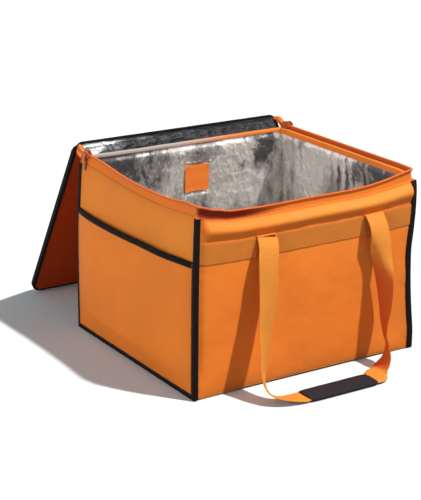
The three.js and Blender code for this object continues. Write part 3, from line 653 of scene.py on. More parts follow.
LOOKS = {
    "front": cloth_material("front_cloth", ORANGE, tone_and_shade_share=0.5, painted_highlight=PAINTED_HIGHLIGHT_GOLD),
    "side": cloth_material("side_cloth", ORANGE_SIDE, tone_and_shade_share=0.35),
    "pocket": cloth_material("pocket_cloth", ORANGE_POCKET, tone_and_shade_share=0.35),
    "lid": cloth_material("lid_cloth", LID_ORANGE_REDDENED_FOR_SHADE, tone_and_shade_share=0.9, seam=LID_PAINTED_SHADE_RED),
    "facing": cloth_material("facing_cloth", FACING, use_uv=False, tone_and_shade_share=1.0, seam=FACING_FOIL),
    "tape": cloth_material("zip_tape_cloth", TAPE, use_uv=False, tone_and_shade_share=0.95, seam=TAPE_PAINTED_SHADE_RED),
    "patch": cloth_material("patch_cloth", ORANGE_PATCH),
    "coil": plain_material("zip_coil", COIL, 0.55, 500, specular=0.15),
    "black_coil": plain_material("black_zip_coil", BLACK_COIL, 0.45, 500),
    "web": webbing_material("strap_webbing", WEB, deep=WEB_PAINTED_SHADE_RED),
    "band": webbing_material("band_webbing", BAND, 0.7),
    "grip": webbing_material("grip_sleeve", GRIP, 0.85),
    "binding": binding_material("black_binding", BLACK),
    "foil": foil_material("foil_film", *FOIL_LOOK),
    "hinge_foil": foil_material("hinge_foil_film", *PAINTED_DARK_HINGE_FOIL_LOOK),
    "foam": plain_material("foam", FOAM, 0.9, 700, depth=0.4),
    "board": plain_material("board", BOARD, 0.6, 120),
    "metal": plain_material("zip_metal", METAL, 0.45, 420, metallic=0.2),
    "thread": plain_material("orange_thread", THREAD, 0.7, 2000, depth=0.05),
    "dark_thread": plain_material("dark_thread", DARK_THREAD, 0.7, 2000, depth=0.05),
}


# Walls


def edge_darkening(along, half, z, low, high, reach=10.0):
    nearest = np.minimum(half - np.abs(along), np.minimum(z - low, high - z))
    return np.exp(-np.maximum(nearest, 0) / reach)


def wall_layer(side, depths, half, low, high, steps, fine_out, fine_in):
    """The two faces of one wall piece, as grids of points, with their flat places."""
    along, z = grid(np.linspace(-half, half, steps[0]), np.linspace(low, high, steps[1]))
    relief = common_relief(side, along, z)
    fine = (fine_out(along, z), fine_in(along, z))
    faces = [on_wall(side, along, z, relief + lift - depth) for depth, lift in zip(depths, fine)]
    return along, z, faces


def still(along, z):
    return np.zeros_like(along)


def front_tucks(along, z, seed):
    """Tucks beside the band and the roll, and one long fold below the band."""
    below = 0.45 * pucker(along, BAND_LOW - z, seed, 16.0, 14.0) * (z < BAND_LOW)
    above = 0.35 * pucker(along, z - ROLL_LOW, seed + 1, 23.0, 8.0) * (z > ROLL_LOW)
    under_zip = 0.5 * pucker(along, ROLL_TOP + 4 - z, seed + 2, 21.0, 9.0) * (z > ROLL_LOW)
    fold = 0.9 * np.exp(-(((z - 96 - 0.22 * along) / 16) ** 2)) * ease((along - 60) / 110)
    return below + above + under_zip + fold


def panel(side):
    """The outer cloth of a wall, with tucks along its seams."""
    facing_x = side in ("left", "right")
    half = HALF_D - SIDE_INSET if facing_x else HALF_W
    seam = HALF_D - 12 if facing_x else HALF_W - 8
    top = BACK_PANEL_TOP if side == "back" else PANEL_TOP
    seed = 41 + 6 * SIDES.index(side)

    def fine(along, z):
        tucks = 0.55 * pucker(z + 40 * np.sign(along), seam - np.abs(along), seed)
        foot = 0.5 * pucker(along, z - 12, seed + 2, 13.0)
        soft = 0.5 * fractal(along / 52, z / 46, seed + 4, 3)
        front = front_tucks(along, z, seed + 6) if side == "front" else 0
        return clamp(0.25 + tucks + foot + soft + front, 0.0, 3.0)

    steps = (230, 190) if side in ("front", "left") else (150, 110)
    along, z, faces = wall_layer(side, (0.0, 1.2), half, WALL_FOOT, top, steps, fine, still)
    tone_and_painted_light = edge_darkening(along, half, z, WALL_FOOT, top)
    if side == "front":
        # Painted highlight: the upper part of the padded roll turns golden, fuller towards the right.
        length = ease((along + HALF_W - 6) / 20) * (0.45 + 0.55 * ease((along + 160) / 220))
        tone_and_painted_light = tone_and_painted_light - 1.1 * ease((z - 281) / 15) * length
    look = "front" if side == "front" else "side"
    obj = sandwich(f"{side}_outer_cloth", *faces, look, "bag_body", join(along, z), tone_and_painted_light)
    size = (2 * half, top - WALL_FOOT)
    dress_sheet(obj, "outer_cloth", f"{side}_panel", *size, "stretched", f"{side}_padding")


def foam(side):
    """The padding of a wall, sunk behind the zip and thinner where it ends."""
    facing_x = side in ("left", "right")
    half = HALF_D - LINING_DEPTHS[0] if facing_x else HALF_W - 2.5

    def sunk(along, z):
        top = ease((z - 304) / 8)
        ends = 0 if facing_x else 9 * ease((np.abs(along) - half + 14) / 14) * top
        return -5.4 * groove(z) - ends - 0.8 * top

    steps = (70, 90)
    along, z, faces = wall_layer(side, FOAM_DEPTHS, half, WALL_FOOT, FOAM_TOP, steps, sunk, still)
    obj = sandwich(f"{side}_padding", *faces, "foam", "bag_body", join(along, z))
    dress_padding(obj, "foam", f"{side}_foam")


# Painted shade and painted dark reflections on the film, or painted bright reflections where the strength
# is negative: place, size and strength
BACK_PAINTED_SPOTS = (
    ((-180, 312), (62, 40), 0.95),
    ((174, 278), (26, 30), 0.5),
    ((-130, 270), (60, 40), 0.3),
    ((20, 298), (70, 14), 0.2),
    ((120, 215), (60, 45), -0.25),
)
RIGHT_PAINTED_SPOT = ((112, 270), (55, 60), -0.25)


def spot(along, z, place, size, strength):
    return strength * np.exp(-(((along - place[0]) / size[0]) ** 2) - ((z - place[1]) / size[1]) ** 2)


def foil_shadiness(side, along, z):
    """How dark the film is painted, as painted shade and painted reflections, from 0 for bright to 1."""
    if side == "back":
        return 0.3 + sum(spot(along, z, *row) for row in BACK_PAINTED_SPOTS)
    if side == "right":
        # Painted reflections in dark streaks, and the rim's painted shadow over the upper front part.
        streaks = 0.42 * noise(along / 12 + 0.1 * z / 20, z / 150, 67) * ease((z - 200) / 80)
        far = 0.5 * ease((30 - along) / 130) * ease((z - 225) / 60)
        return 0.26 + spot(along, z, *RIGHT_PAINTED_SPOT) + streaks + far
    return 0.3


def lining(side):
    """Foil lining: loose, quilted into soft hollows and full of creases."""
    half = HALF_D - LINING_DEPTHS[1] - 0.3 if side in ("left", "right") else HALF_W - LINING_DEPTHS[0]
    seed = 71 + 4 * SIDES.index(side)
    top = BACK_LINING_TOP if side == "back" else LINING_TOP

    def crinkle(along, z):
        full = ease((half - np.abs(along)) / 14) * ease((z - 16) / 16) * ease((316 - z) / 8)
        broad = 1.6 + 1.6 * fractal(along / 78, z / 70, seed, 2)
        folds = 1.5 * creases(along / 46 + 0.35 * z / 46, z / 60, seed + 2)
        small = 0.8 * creases(along / 17, z / 19, seed + 6, 2)
        if side == "back":
            full = full * (1 - 0.92 * patch_cover(along, z))
        return -full * clamp(broad + folds + small, 0, 6.5)

    steps = (260, 170) if side in ("back", "right") else (150, 100)
    inner = (half, LINING_FOOT, top, steps)
    along, z, faces = wall_layer(side, LINING_DEPTHS, *inner, crinkle, crinkle)
    uv = join(along + 300 * (1 + SIDES.index(side)), z)
    # Painted shade and painted reflections on the film.
    shadiness = foil_shadiness(side, along, z)
    obj = sandwich(f"{side}_foil", *faces, "foil", "bag_body", uv, shadiness)
    size = (2 * half, top - LINING_FOOT)
    dress_sheet(obj, "foil_lining", f"{side}_lining", *size, "stretched", f"{side}_padding")


def floor_layer(name, half_x, half_y, low, high, look, soft=0.0):
    """One layer of the base between two heights, rumpled where it is soft."""
    x, y = grid(np.linspace(-half_x, half_x, 90), np.linspace(-half_y, half_y, 80))
    if soft:
        full = ease((half_x - np.abs(x)) / 14) * ease((half_y - np.abs(y)) / 14)
        soft = soft * full * (creases(x / 42, y / 46, 91) + 0.5 * creases(x / 15, y / 17, 95, 2))
    top, under = (slump(join(x, y, z + soft)) for z in (high, low))
    # Darker towards the edges, on the cloth and on the foil.
    tone_and_painted_light = edge_darkening(x, half_x, y, -half_y, half_y, 8.0)
    return sandwich(name, top, under, look, "bag_body", join(x + 2100, y), tone_and_painted_light)


def floor_layers():
    inside = (HALF_W - LINING_DEPTHS[0], HALF_D - LINING_DEPTHS[0])
    cloth = (HALF_W - 8.6, HALF_D)
    inside_cut, cloth_cut = ((2 * x, 2 * y) for x, y in (inside, cloth))
    obj = floor_layer("base_cloth", *cloth, 0.0, 2.3, "side")
    dress_sheet(obj, "outer_cloth", "base_panel", *cloth_cut, "laid", "base_board")
    obj = floor_layer("base_padding", *inside, 2.6, 11.6, "foam")
    dress_padding(obj, "foam", "base_foam")
    obj = floor_layer("base_foil", *inside, 15.2, 16.0, "foil", 1.0)
    dress_sheet(obj, "foil_lining", "base_lining", *inside_cut, "laid", "base_board")


# Trim along the edges


SEAM_RADIUS = 2.7
SEAM_FOOT = 0.3
SEAM_TOP = 310.7


def u_path(inset):
    """The line up the front seam, along the base and up the back, set in from its outer edge."""
    radius = max(SEAM_RADIUS - inset, 0.7)
    y = HALF_D + SEAM_GROWTH - inset
    z = SEAM_FOOT + inset + radius
    angles = np.linspace(-math.pi / 2, 0, 5)
    corner = join(y - radius + radius * np.cos(angles), z + radius * np.sin(angles))
    flat = join(np.linspace(0, y - radius, 22)[:-1], z - radius)
    right = np.concatenate([flat, corner, join(y, np.linspace(z, SEAM_TOP, 44)[1:])])
    return np.concatenate([right[1:][::-1] * np.array([-1, 1]), right])


def side_binding(name, sign, front):
    """Black tape wrapped over the seam of a side wall, rounded along its edges."""
    face, top = HALF_W + 0.3, HALF_W + SEAM_GROWTH
    section = (
        (front, 0.25), (front + 0.5, 0.0), (top - 1.2, 0.0), (top - 0.35, 0.35), (top, 1.2), (top, 8.4),
        (top - 0.3, 9.3), (top - 1.0, 9.5), (face + 0.2, 9.2), (face, 8.5), (face, 2.2), (front, 1.9),
    )
    give = np.array([0, 0, 0.4, 0.6, 1, 1, 1, 1, 0, 0, 0, 0])
    lines = [u_path(inset) for _, inset in section]
    rings = np.stack([join(sign * x, line[:, 0], line[:, 1]) for (x, _), line in zip(section, lines)], 1)
    run = run_along(u_path(0.0))
    wave = 0.35 * noise(run / 14, run * 0, 101 + sign)[:, None] * give
    rings[..., 0] += sign * clamp(wave, -0.2, 0.5)
    obj = tube(name + "_tape", slump(rings), "binding", "bag_body", sharp=70)
    dress_sheet(obj, "black_binding", name, 16.5, run[-1], "folded", "base_cloth")
    seam = u_path(7.4)
    line = slump(join(sign * (top + 0.1), seam[:, 0], seam[:, 1]))
    stitches(name + "_stitching", [(line, (sign, 0, 0))], "dark_thread", "bag_body", "black_binding")


def mouth_path(half_x, half_y, radius, spacing=6.0, back=None):
    """Points and outward directions round the mouth: a closed loop, or a U that ends at back."""
    straight_x = np.arange(-half_x + radius, half_x - radius, spacing)
    end = half_y - radius if back is None else back
    straight_y = np.append(np.arange(-half_y + radius, end, spacing), [] if back is None else [back])
    turns = np.linspace(0, math.pi / 2, 8)[:-1]

    def corner(side_x, side_y, start):
        out = join(np.cos(start + turns), np.sin(start + turns))
        return np.array([side_x * (half_x - radius), side_y * (half_y - radius)]) + radius * out, out

    def straight(points, out):
        return points, np.tile(out, (len(points), 1))

    front = straight(join(straight_x, -half_y), (0.0, -1.0))
    right = straight(join(half_x, straight_y), (1.0, 0.0))
    left = straight(join(-half_x, straight_y[::-1]), (-1.0, 0.0))
    near = [corner(-1, -1, math.pi), front, corner(1, -1, -math.pi / 2), right]
    if back is None:
        rear = straight(front[0][::-1] * [1, -1], (0.0, 1.0))
        parts = [*near[1:], corner(1, 1, 0.0), rear, corner(-1, 1, math.pi / 2), left, near[0]]
    else:
        parts = [left, *near]
    return (np.concatenate(column) for column in zip(*parts))


def rim_facing():
    """Orange strip folded over the padding's top edge, with a soft rounded top."""
    points, out = mouth_path(HALF_W - SIDE_INSET, HALF_D - SIDE_INSET, 5.0)
    section = np.array(
        [
            (4.4, 322.4), (4.5, 323.6), (5.2, 324.3), (7.2, 324.7), (9.4, 324.5), (10.6, 323.6),
            (11.0, 322.0), (11.3, 318.0), (11.2, 314.6), (10.9, 313.8), (10.3, 313.8), (10.0, 314.6),
            (9.9, 318.0), (9.8, 321.5), (8.6, 322.3),
        ]
    )
    depth, height = section[None, :, 0], section[None, :, 1]
    run = np.arange(len(points))[:, None] * 6.0
    ripple = 0.5 * noise(run / 42, height / 30, 111)
    at_back = ease(out[:, 1])
    shorter = 4.5 * at_back[:, None] * clamp((321 - height) / 7)
    rings = slump(beside(points, out, depth + ripple * 0.5, height + ripple + shorter))
    foiled = (at_back * ease((140 - points[:, 0]) / 190))[:, None]
    obj = tube("rim_edge_cloth", rings, "facing", "bag_body", closed=True, sharp=60, tone_and_painted_light=foiled)
    dress_sheet(obj, "outer_cloth", "rim_facing", 17.5, 1660, "folded", "front_padding", "back_padding")
    line = slump(np.column_stack([points - out * 11.4, 316.4 + 3 * at_back]))
    inward = np.column_stack([-out, 0 * at_back])
    stitches("rim_edge_stitching", [(line, inward)], "thread", "bag_body", "outer_cloth")


ZIP_INSET = 0.6
COIL_HEIGHT = 330.0
COIL_STEP = 0.9
TOOTH_PITCH = 2.7


def coil_rings(points, out, inward, up, wide, tall):
    """Rings of a zip's coil beside a line, which swell at each tooth."""
    run = run_along(points)
    places = np.arange(0, run[-1], COIL_STEP)
    xy, normal = at_run(places, run, points), at_run(places, run, out)
    tooth = (1 + 0.13 * np.sin(2 * math.pi * places / TOOTH_PITCH))[:, None]
    angles = all_round(8)
    inward = inward - wide * np.cos(angles) * tooth
    return beside(xy, normal, inward, up + tall * np.sin(angles) * tooth)


def body_zip():
    """The zip's tape, set back under the coil that stands along its top edge."""
    inset = ZIP_INSET
    points, out = mouth_path(HALF_W - inset, HALF_D - inset, 8.0, 3.0, back=HALF_D - 2.0)
    heights = np.array([310.6, 311.6, 312.6, 314, 317, 320, 322.5, 324, 325.5, 327, 328.6])
    in_front = ease(-out[:, 1])[:, None]
    x = points[:, :1]
    deep = 1.4 + in_front * (0.8 + 3.2 * ease((-30 - x) / 110))
    sunk = deep * groove(heights)
    faces = [slump(beside(points, out, sunk + side, heights)) for side in (-0.6, 0.6)]
    # Painted shade: the tape's outer face turns dark red along the front, most at the left, and its inner
    # face partly everywhere.
    tone_and_painted_light = (in_front * ease((-40 - x) / 100), 0.62)
    tape = sandwich("zip_tape_cloth", *faces, "tape", "bag_body", tone_and_painted_light=tone_and_painted_light)
    dress_sheet(tape, "outer_cloth", "body_zip_tape", 18.5, 1210, "stretched", "front_outer_cloth")
    rings = slump(coil_rings(points, out, 0.2, COIL_HEIGHT, 2.5, 2.0))
    dress(tube("zip_coil_teeth", rings, "coil", "bag_body", sharp=80), "zip_coil", "body_zip_coil")


def anchor_lift(x, centres):
    """How far the straps' sewn ends lift the band that covers them."""
    lift = [clamp((WEB_WIDTH / 2 + 8 - np.abs(x - c)) / 7.7) for c in centres]
    return 2.3 * ease(np.maximum.reduce(lift))


def band(end, sign):
    """Webbing sewn flat across the wall, lifted over the straps' sewn ends."""
    side = "front" if sign < 0 else "back"
    reach = HALF_W - 6.0
    x, z = grid(np.linspace(-reach, reach, 260), np.linspace(BAND_LOW, BAND_TOP, 16))
    relief = common_relief(side, x, z) + 0.35 + anchor_lift(x, ANCHORS[end])
    relief = relief + 0.2 * clamp(noise(x / 18, z / 40, 121), 0, 1)
    relief = relief + 0.3 * pucker(z, reach - np.abs(x), 123, 9.0, 16.0) ** 2
    edge = ease((z - BAND_LOW) / 2.5) * ease((BAND_TOP - z) / 2.5)
    faces = [on_wall(side, x, z, relief + thick) for thick in (0.7 + 0.6 * edge, 0.0)]
    obj = sandwich(f"{end}_band_webbing", *faces, "band", "bag_body", join(x, z))
    dress_sheet(obj, "webbing", f"{end}_band", 2 * reach, WEB_WIDTH, "stretched", f"{side}_outer_cloth")
    lines = []
    places = np.linspace(-reach + 3, reach - 3, 200)
    for height in (BAND_LOW + 3, BAND_TOP - 3):
        lift = common_relief(side, places, height + 0 * places) + 1.7 + anchor_lift(places, ANCHORS[end])
        lines.append((on_wall(side, places, height, lift), (0, sign, 0)))
    stitches(f"{end}_band_stitching", lines, "thread", "bag_body", "webbing")


def strap_anchor(end, sign, centre, label):
    """The strap's sewn end: up behind the band and forward over its top edge."""
    section = np.array(
        [
            (0.4, 236.0), (2.1, 236.0), (2.3, 240.0), (2.3, 269.0), (2.8, 270.2), (4.2, 270.8),
            (7.2, 270.9), (8.0, 271.2), (8.2, 271.8), (7.9, 272.4), (7.2, 272.7), (3.0, 272.7),
            (1.4, 272.2), (0.5, 270.8),
        ]
    )
    side = "front" if sign < 0 else "back"
    half = WEB_WIDTH / 2
    x, depth = np.broadcast_arrays(np.linspace(centre - half, centre + half, 22)[:, None], section[:, 0])
    lift = common_relief(side, x, np.full_like(x, 262.0)) * 0.6
    rings = on_wall(side, x, section[:, 1], depth + lift)
    uv = join(x, section[:, 1] + depth)
    obj = tube(f"{end}_{label}_strap_end", rings, "web", "bag_body", uv=uv)
    node = f"{end}_{label}_strap_anchor"
    dress_sheet(obj, "webbing", node, WEB_WIDTH, 43, "folded", f"{end}_band_webbing")


POCKET_HALF = 191.3
POCKET_LOW = 10.4
POCKET_TOP = 226.5


def pocket_rise(y, z):
    """The pocket's top edge slopes up a little towards the front."""
    return (3.5 + 6.5 * ease(0.5 - y / (2 * HALF_D))) * clamp(z / 228)


def pocket_relief(y, z):
    """How far the pocket stands out from the flat: the wall's own relief, a belly and tucks."""
    belly = 8 * (1 - clamp(np.abs(y) / 189) ** 4) * ease((z - POCKET_LOW) / 40)
    full = ease((191 - np.abs(y)) / 20) * ease((z - POCKET_LOW) / 20)
    tucks = pucker(z, POCKET_HALF - np.abs(y), 131, 12.0, 12.0) + pucker(y, z - POCKET_LOW, 133, 12.0, 12.0)
    soft = full * 0.9 * fractal(y / 90, z / 80, 135, 3)
    return common_relief("left", y, z) + belly + soft + clamp(0.6 * tucks, -0.2, 1.5)


def pocket():
    """Patch pocket: cloth with a soft belly, and a black edge along its open top."""
    y, z = grid(np.linspace(-POCKET_HALF, POCKET_HALF, 220), np.linspace(POCKET_LOW, POCKET_TOP, 150))
    bulge = pocket_relief(y, z)
    tall = z + pocket_rise(y, z)
    faces = [on_wall("left", y, tall, lift + bulge) for lift in (3.0, 1.8)]
    tone_and_painted_light = edge_darkening(y, 191, z, POCKET_LOW, 240)
    obj = sandwich("pocket_cloth", *faces, "pocket", "bag_body", join(y + 900, z), tone_and_painted_light)
    size = (2 * POCKET_HALF, POCKET_TOP - POCKET_LOW)
    dress_sheet(obj, "outer_cloth", "pocket_panel", *size, "stretched", "left_outer_cloth")
    section = np.array(
        [
            (0.5, 218.7), (1.5, 218.7), (1.6, 225.0), (2.4, 226.9), (3.1, 225.0), (3.2, 218.7),
            (4.2, 218.5), (4.6, 219.6), (4.6, 226.6), (4.0, 228.0), (2.6, 228.6), (1.0, 228.0),
            (0.4, 226.6),
        ]
    )
    depth, height = section.T
    places = np.linspace(-191, 191, 120)
    lift = pocket_relief(places, np.full_like(places, 222.0))
    here = places[:, None]
    depth = depth + lift[:, None] + 0.25 * noise(here / 17, height / 50, 137)
    rings = on_wall("left", here, height + pocket_rise(here, height), depth)
    trim = tube("pocket_edge_tape", rings, "binding", "bag_body", sharp=70)
    dress_sheet(trim, "black_binding", "pocket_binding", 382, 21.5, "folded", "pocket_cloth")
    seam_height = 220.4
    level = seam_height + pocket_rise(places, seam_height)
    seam = [(on_wall("left", places, level, 4.7 + lift), (-1, 0, 0))]
    stitches("pocket_edge_stitching", seam, "dark_thread", "bag_body", "black_binding")


PATCH_HALF = 25.0
PATCH_X = 18.0
PATCH_Z = 252.0


def patch_cover(x, z):
    """1 behind the patch, fading to 0 round it."""
    across, up = (1 - ease((np.abs(gap) - PATCH_HALF - 1) / 10) for gap in (x - PATCH_X, z - PATCH_Z))
    return across * up


def patch():
    """Orange square on the back lining, a little bowed, with its corners curled away from it."""
    side = np.linspace(-PATCH_HALF, PATCH_HALF, 40)
    x, z = grid(PATCH_X + side, PATCH_Z + side)
    across, up = (x - PATCH_X) / PATCH_HALF, (z - PATCH_Z) / PATCH_HALF
    depth = 12.0 - common_relief("back", x, z) + 2.0 + 0.8 * noise(x / 22, z / 22, 141)
    depth = depth + 1.6 * (np.abs(across) * np.abs(up)) ** 3
    bow = 1.2 * np.sin((up + 1) / 2 * math.pi) * across
    tall = z + 0.8 * np.sin(x / 11)
    faces = [on_wall("back", x + bow, tall, -depth - thick) for thick in (1.0, 0.0)]
    obj = sandwich("lining_square", *faces, "patch", "bag_body", join(x, z))
    size = (2 * PATCH_HALF, 2 * PATCH_HALF)
    dress_sheet(obj, "outer_cloth", "lining_patch", *size, "laid", "back_foil")


# Lid and its hinge

STRIP_FOLD = (200.0, 317.8)
LID_FOLD = (222.0, 340.0)
STRIP_RUN = 22.0
STRIP_RISE = 22.2
STRIP_LENGTH = math.hypot(STRIP_RUN, STRIP_RISE)
STRIP_ANGLE = math.atan2(STRIP_RISE, STRIP_RUN) - math.pi / 2
STRIP_HALF = 214.0
LID_ANGLE = math.radians(120.5)
LID_HALF = 223.0
LID_LENGTH = 387.0
LID_START = 5.0
LID_CORNERS = (22.0, 9.0)


def turned(points, angle, place):
    """Local points turned about X and moved to their place."""
    c, s = math.cos(angle), math.sin(angle)
    x, y, z = points[..., 0], points[..., 1], points[..., 2]
    return join(x, place[0] + c * y - s * z, place[1] + s * y + c * z)


def on_strip(x, depth, z):
    return turned(join(x, depth, z), STRIP_ANGLE, STRIP_FOLD)


def on_lid(points):
    return turned(points, LID_ANGLE, LID_FOLD)


def gusset():
    """The unpadded strip between the back wall and the lid: cloth outside and loose foil inside."""
    x, z = grid(np.linspace(-STRIP_HALF, STRIP_HALF, 220), np.linspace(-0.3, STRIP_LENGTH - 2.2, 24))
    full = np.sin(math.pi * clamp((z + 0.3) / (STRIP_LENGTH - 1.9)))
    sway = clamp(0.8 * full * fractal(x / 60, z / 30, 151, 2), -0.2, 2)
    uv = join(x, z)
    faces = (on_strip(x, 1.05 + sway, z), on_strip(x, -0.1 + sway, z))
    # Painted shade: the strip's cloth is mixed partly towards the lid's painted shade red.
    obj = sandwich("gusset_cloth", *faces, "lid", "hinge_gusset", uv, 0.4)
    size = (2 * STRIP_HALF, 29.4)
    dress_sheet(obj, "outer_cloth", "gusset_outer", *size, "folded", "back_outer_cloth")
    folds = 0.8 + 1.6 * creases(x / 34, z / 22, 153) + 0.9 * noise(x / 70, z / 40, 157)
    rumple = full * clamp(folds, 0, 5)
    faces = (on_strip(x, -0.45 - rumple, z), on_strip(x, -1.1 - rumple, z))
    # Painted shade and painted reflections on the strip's foil: darker from the left end towards the right,
    # with a brighter line near its upper edge.
    edge = np.exp(-(((z - STRIP_LENGTH + 8) / 2.6) ** 2))
    painted_foil_shade = 0.3 + 0.75 * ease((x + 190) / 130) - 0.45 * edge
    foil = sandwich("gusset_foil", *faces, "hinge_foil", "hinge_gusset", uv + [3000, 40], painted_foil_shade)
    dress_sheet(foil, "foil_lining", "gusset_lining", *size, "folded", "gusset_cloth")


GATHER_ROUTE = (
    (219.2, 180, 322), (219.2, 189, 326), (218.6, 196, 329.5), (217.0, 202.5, 333.5),
    (214.8, 208.5, 337), (211.5, 214, 337),
)


def zip_gather(label, sign):
    """The bunched end of the zip's tape, which runs up over the fold beside the hinge strip."""
    line = through(GATHER_ROUTE, 5)
    along = units(np.gradient(line, axis=0))
    side = units(np.cross(along, [0.25, -0.55, 0.8]))
    up = np.cross(side, along)
    share = np.linspace(0, 1, len(line))[:, None]
    angles = all_round(28)
    full = 0.55 + 0.45 * np.sin(math.pi * clamp(share * 0.9 + 0.1))
    folds = full * (1 + 0.16 * np.sin(3 * angles + 5 * share) + 0.13 * np.sin(7 * angles - 9 * share))
    wide = (6.6 * folds * np.cos(angles))[..., None]
    tall = (5.2 * folds * np.sin(angles))[..., None]
    rings = line[:, None, :] + side[:, None, :] * wide + up[:, None, :] * tall
    mirror = np.array([sign, 1, 1])
    # Painted shade in the folds of the bunched tape.
    tone_and_painted_light = 0.75 * clamp(0.5 + 0.5 * np.sin(3 * angles + 5 * share + 2.2)) ** 2
    obj = tube(f"{label}_zip_gather", rings * mirror, "tape", None, sharp=60, tone_and_painted_light=tone_and_painted_light)
    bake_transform(obj)


def lid_ends(inset):
    """The set-in outline's half width, and the direction, place and corner radius of each end."""
    free = (-1, -LID_LENGTH + inset, LID_CORNERS[0] - inset)
    hinged = (1, -LID_START - inset, LID_CORNERS[1] - inset)
    return LID_HALF - inset, (free, hinged)


def lid_grid(inset, steps):
    """A grid over the lid's outline, with its corners rounded."""
    half, ends = lid_ends(inset)
    u, v = grid(np.linspace(-half, half, steps[0]), np.linspace(ends[0][1], ends[1][1], steps[1]))
    for sx in (-1, 1):
        for sy, y_edge, radius in ends:
            cx, cy = sx * (half - radius), y_edge - sy * radius
            dx, dy = (u - cx) * sx, (v - cy) * sy
            inside = (dx > 0) & (dy > 0)
            stretch = np.maximum(dx, dy) / np.maximum(np.hypot(dx, dy), 1e-9)
            u = np.where(inside, cx + sx * dx * stretch, u)
            v = np.where(inside, cy + sy * dy * stretch, v)
    return u, v


def lid_outline():
    """The lid's outline, counterclockwise, with points about 9 mm apart on its straight sides."""
    half, (free, hinged) = lid_ends(0.0)
    parts = []
    corners = ((-1, *free), (1, *free), (1, *hinged), (-1, *hinged))
    for quarter, (sx, sy, y_edge, radius) in enumerate(corners):
        angles = (quarter + 2) * math.pi / 2 + np.linspace(0, math.pi / 2, 14)
        centre = np.array([sx * (half - radius), y_edge - sy * radius])
        parts.append(centre + radius * join(np.cos(angles), np.sin(angles)))
    loop = np.concatenate(parts)
    dense = []
    for a, b in zip(loop, np.roll(loop, -1, 0)):
        steps = max(1, int(round(np.linalg.norm(b - a) / 9)))
        dense.extend(a + (b - a) * k / steps for k in range(steps))
    return np.array(dense)


def lid_layer(name, look, low, high, steps, over, under):
    """One layer of the lid between two heights, each with its own relief."""
    x, y = lid_grid(1.5, steps)
    bow = pillow(x / LID_HALF, 2 * y / LID_LENGTH + 1) * 1.6 * fractal(x / 150, y / 130, 161, 2)
    faces = [on_lid(join(x, y, z + bow + fine(x, y))) for z, fine in ((high, over), (low, under))]
    # Painted shade: the lid's cloth turns dark red farther from its fold; the other layers get a flat
    # value.
    tone_and_painted_light = ease((-y - 12) / 75) if look == "lid" else 0.35
    return sandwich(name, *faces, look, "lid", join(x + 1500, y), tone_and_painted_light)


def lid_cloth_relief(x, y):
    """Tucks along the lid's edge and a soft unevenness, on its outer face."""
    away = np.minimum(LID_HALF - np.abs(x), np.minimum(y + LID_LENGTH, -y - LID_START))
    tucks = 0.5 * pucker(x + y, away - 8, 171, 13.0, 10.0)
    return clamp(0.1 + tucks + 0.7 * fractal(x / 60, y / 60, 173, 3), 0, 3)


def lid_foil_relief(x, y):
    """Loose folds of the lid's lining."""
    full = ease((LID_HALF - 10 - np.abs(x)) / 16) * ease((y + LID_LENGTH - 10) / 16) * ease((-y - 14) / 16)
    folds = 0.6 + 1.3 * creases(x / 44, y / 48, 175) + 0.6 * creases(x / 16, y / 18, 179, 2)
    return -full * clamp(folds, 0, 4)


def lid():
    """The padded lid, its black edge, the black line over its fold, and its half of the zip."""
    size = (2 * LID_HALF - 3, LID_LENGTH - LID_START - 3)
    cloth = lid_layer("lid_cloth", "lid", 9.0, 10.1, (150, 140), lid_cloth_relief, still)
    dress_sheet(cloth, "outer_cloth", "lid_outer", *size, "stretched", "lid_padding")
    pad = lid_layer("lid_padding", "foam", 2.6, 8.6, (50, 50), still, still)
    dress_padding(pad, "foam", "lid_foam")
    folds = (lid_foil_relief, lid_foil_relief)
    foil = lid_layer("lid_foil", "foil", 1.5, 2.3, (180, 170), *folds)
    dress_sheet(foil, "foil_lining", "lid_lining", *size, "stretched", "lid_padding")
    lid_edge()
    hinge_line()
    lid_zip()


def lid_edge():
    """Black tape folded over the lid's edge all round, with its stitches on both faces."""
    section = np.array(
        [
            (0.9, 0.3), (4.8, 0.1), (5.4, 0.5), (4.8, 1.1), (1.5, 1.3), (1.2, 1.7), (1.2, 9.9),
            (1.5, 10.3), (4.8, 10.5), (5.4, 11.0), (4.8, 11.5), (1.2, 11.2), (0.3, 10.0), (0.0, 8.0),
            (0.0, 3.5), (0.3, 1.4),
        ]
    )
    depth, height = section.T
    outline = lid_outline()
    closed = np.concatenate([outline, outline[:1]])
    around = run_along(closed)
    count = 460
    base = at_run(np.linspace(0, around[-1], count, endpoint=False), around, closed)
    along = units(np.roll(base, -1, 0) - np.roll(base, 1, 0))
    normal = join(along[:, 1], -along[:, 0])
    wave = 0.3 * noise(np.arange(count)[:, None] / 5.0, height[None, :] / 9, 181)
    rings = on_lid(beside(base, normal, depth, height + wave * (depth > 2)))
    edge = tube("lid_edge_tape", rings, "binding", "lid", closed=True, sharp=70)
    length = run_along(outline)[-1]
    dress_sheet(edge, "black_binding", "lid_binding", 21.5, length, "folded", "lid_padding")
    inner = base - normal * 4.2
    up = np.array([0, -math.sin(LID_ANGLE), math.cos(LID_ANGLE)])
    lines = [(on_lid(join(inner[:, 0], inner[:, 1], z)), up * way) for z, way in ((-0.1, -1), (11.7, 1))]
    stitches("lid_edge_stitching", lines, "dark_thread", "lid", "black_binding")


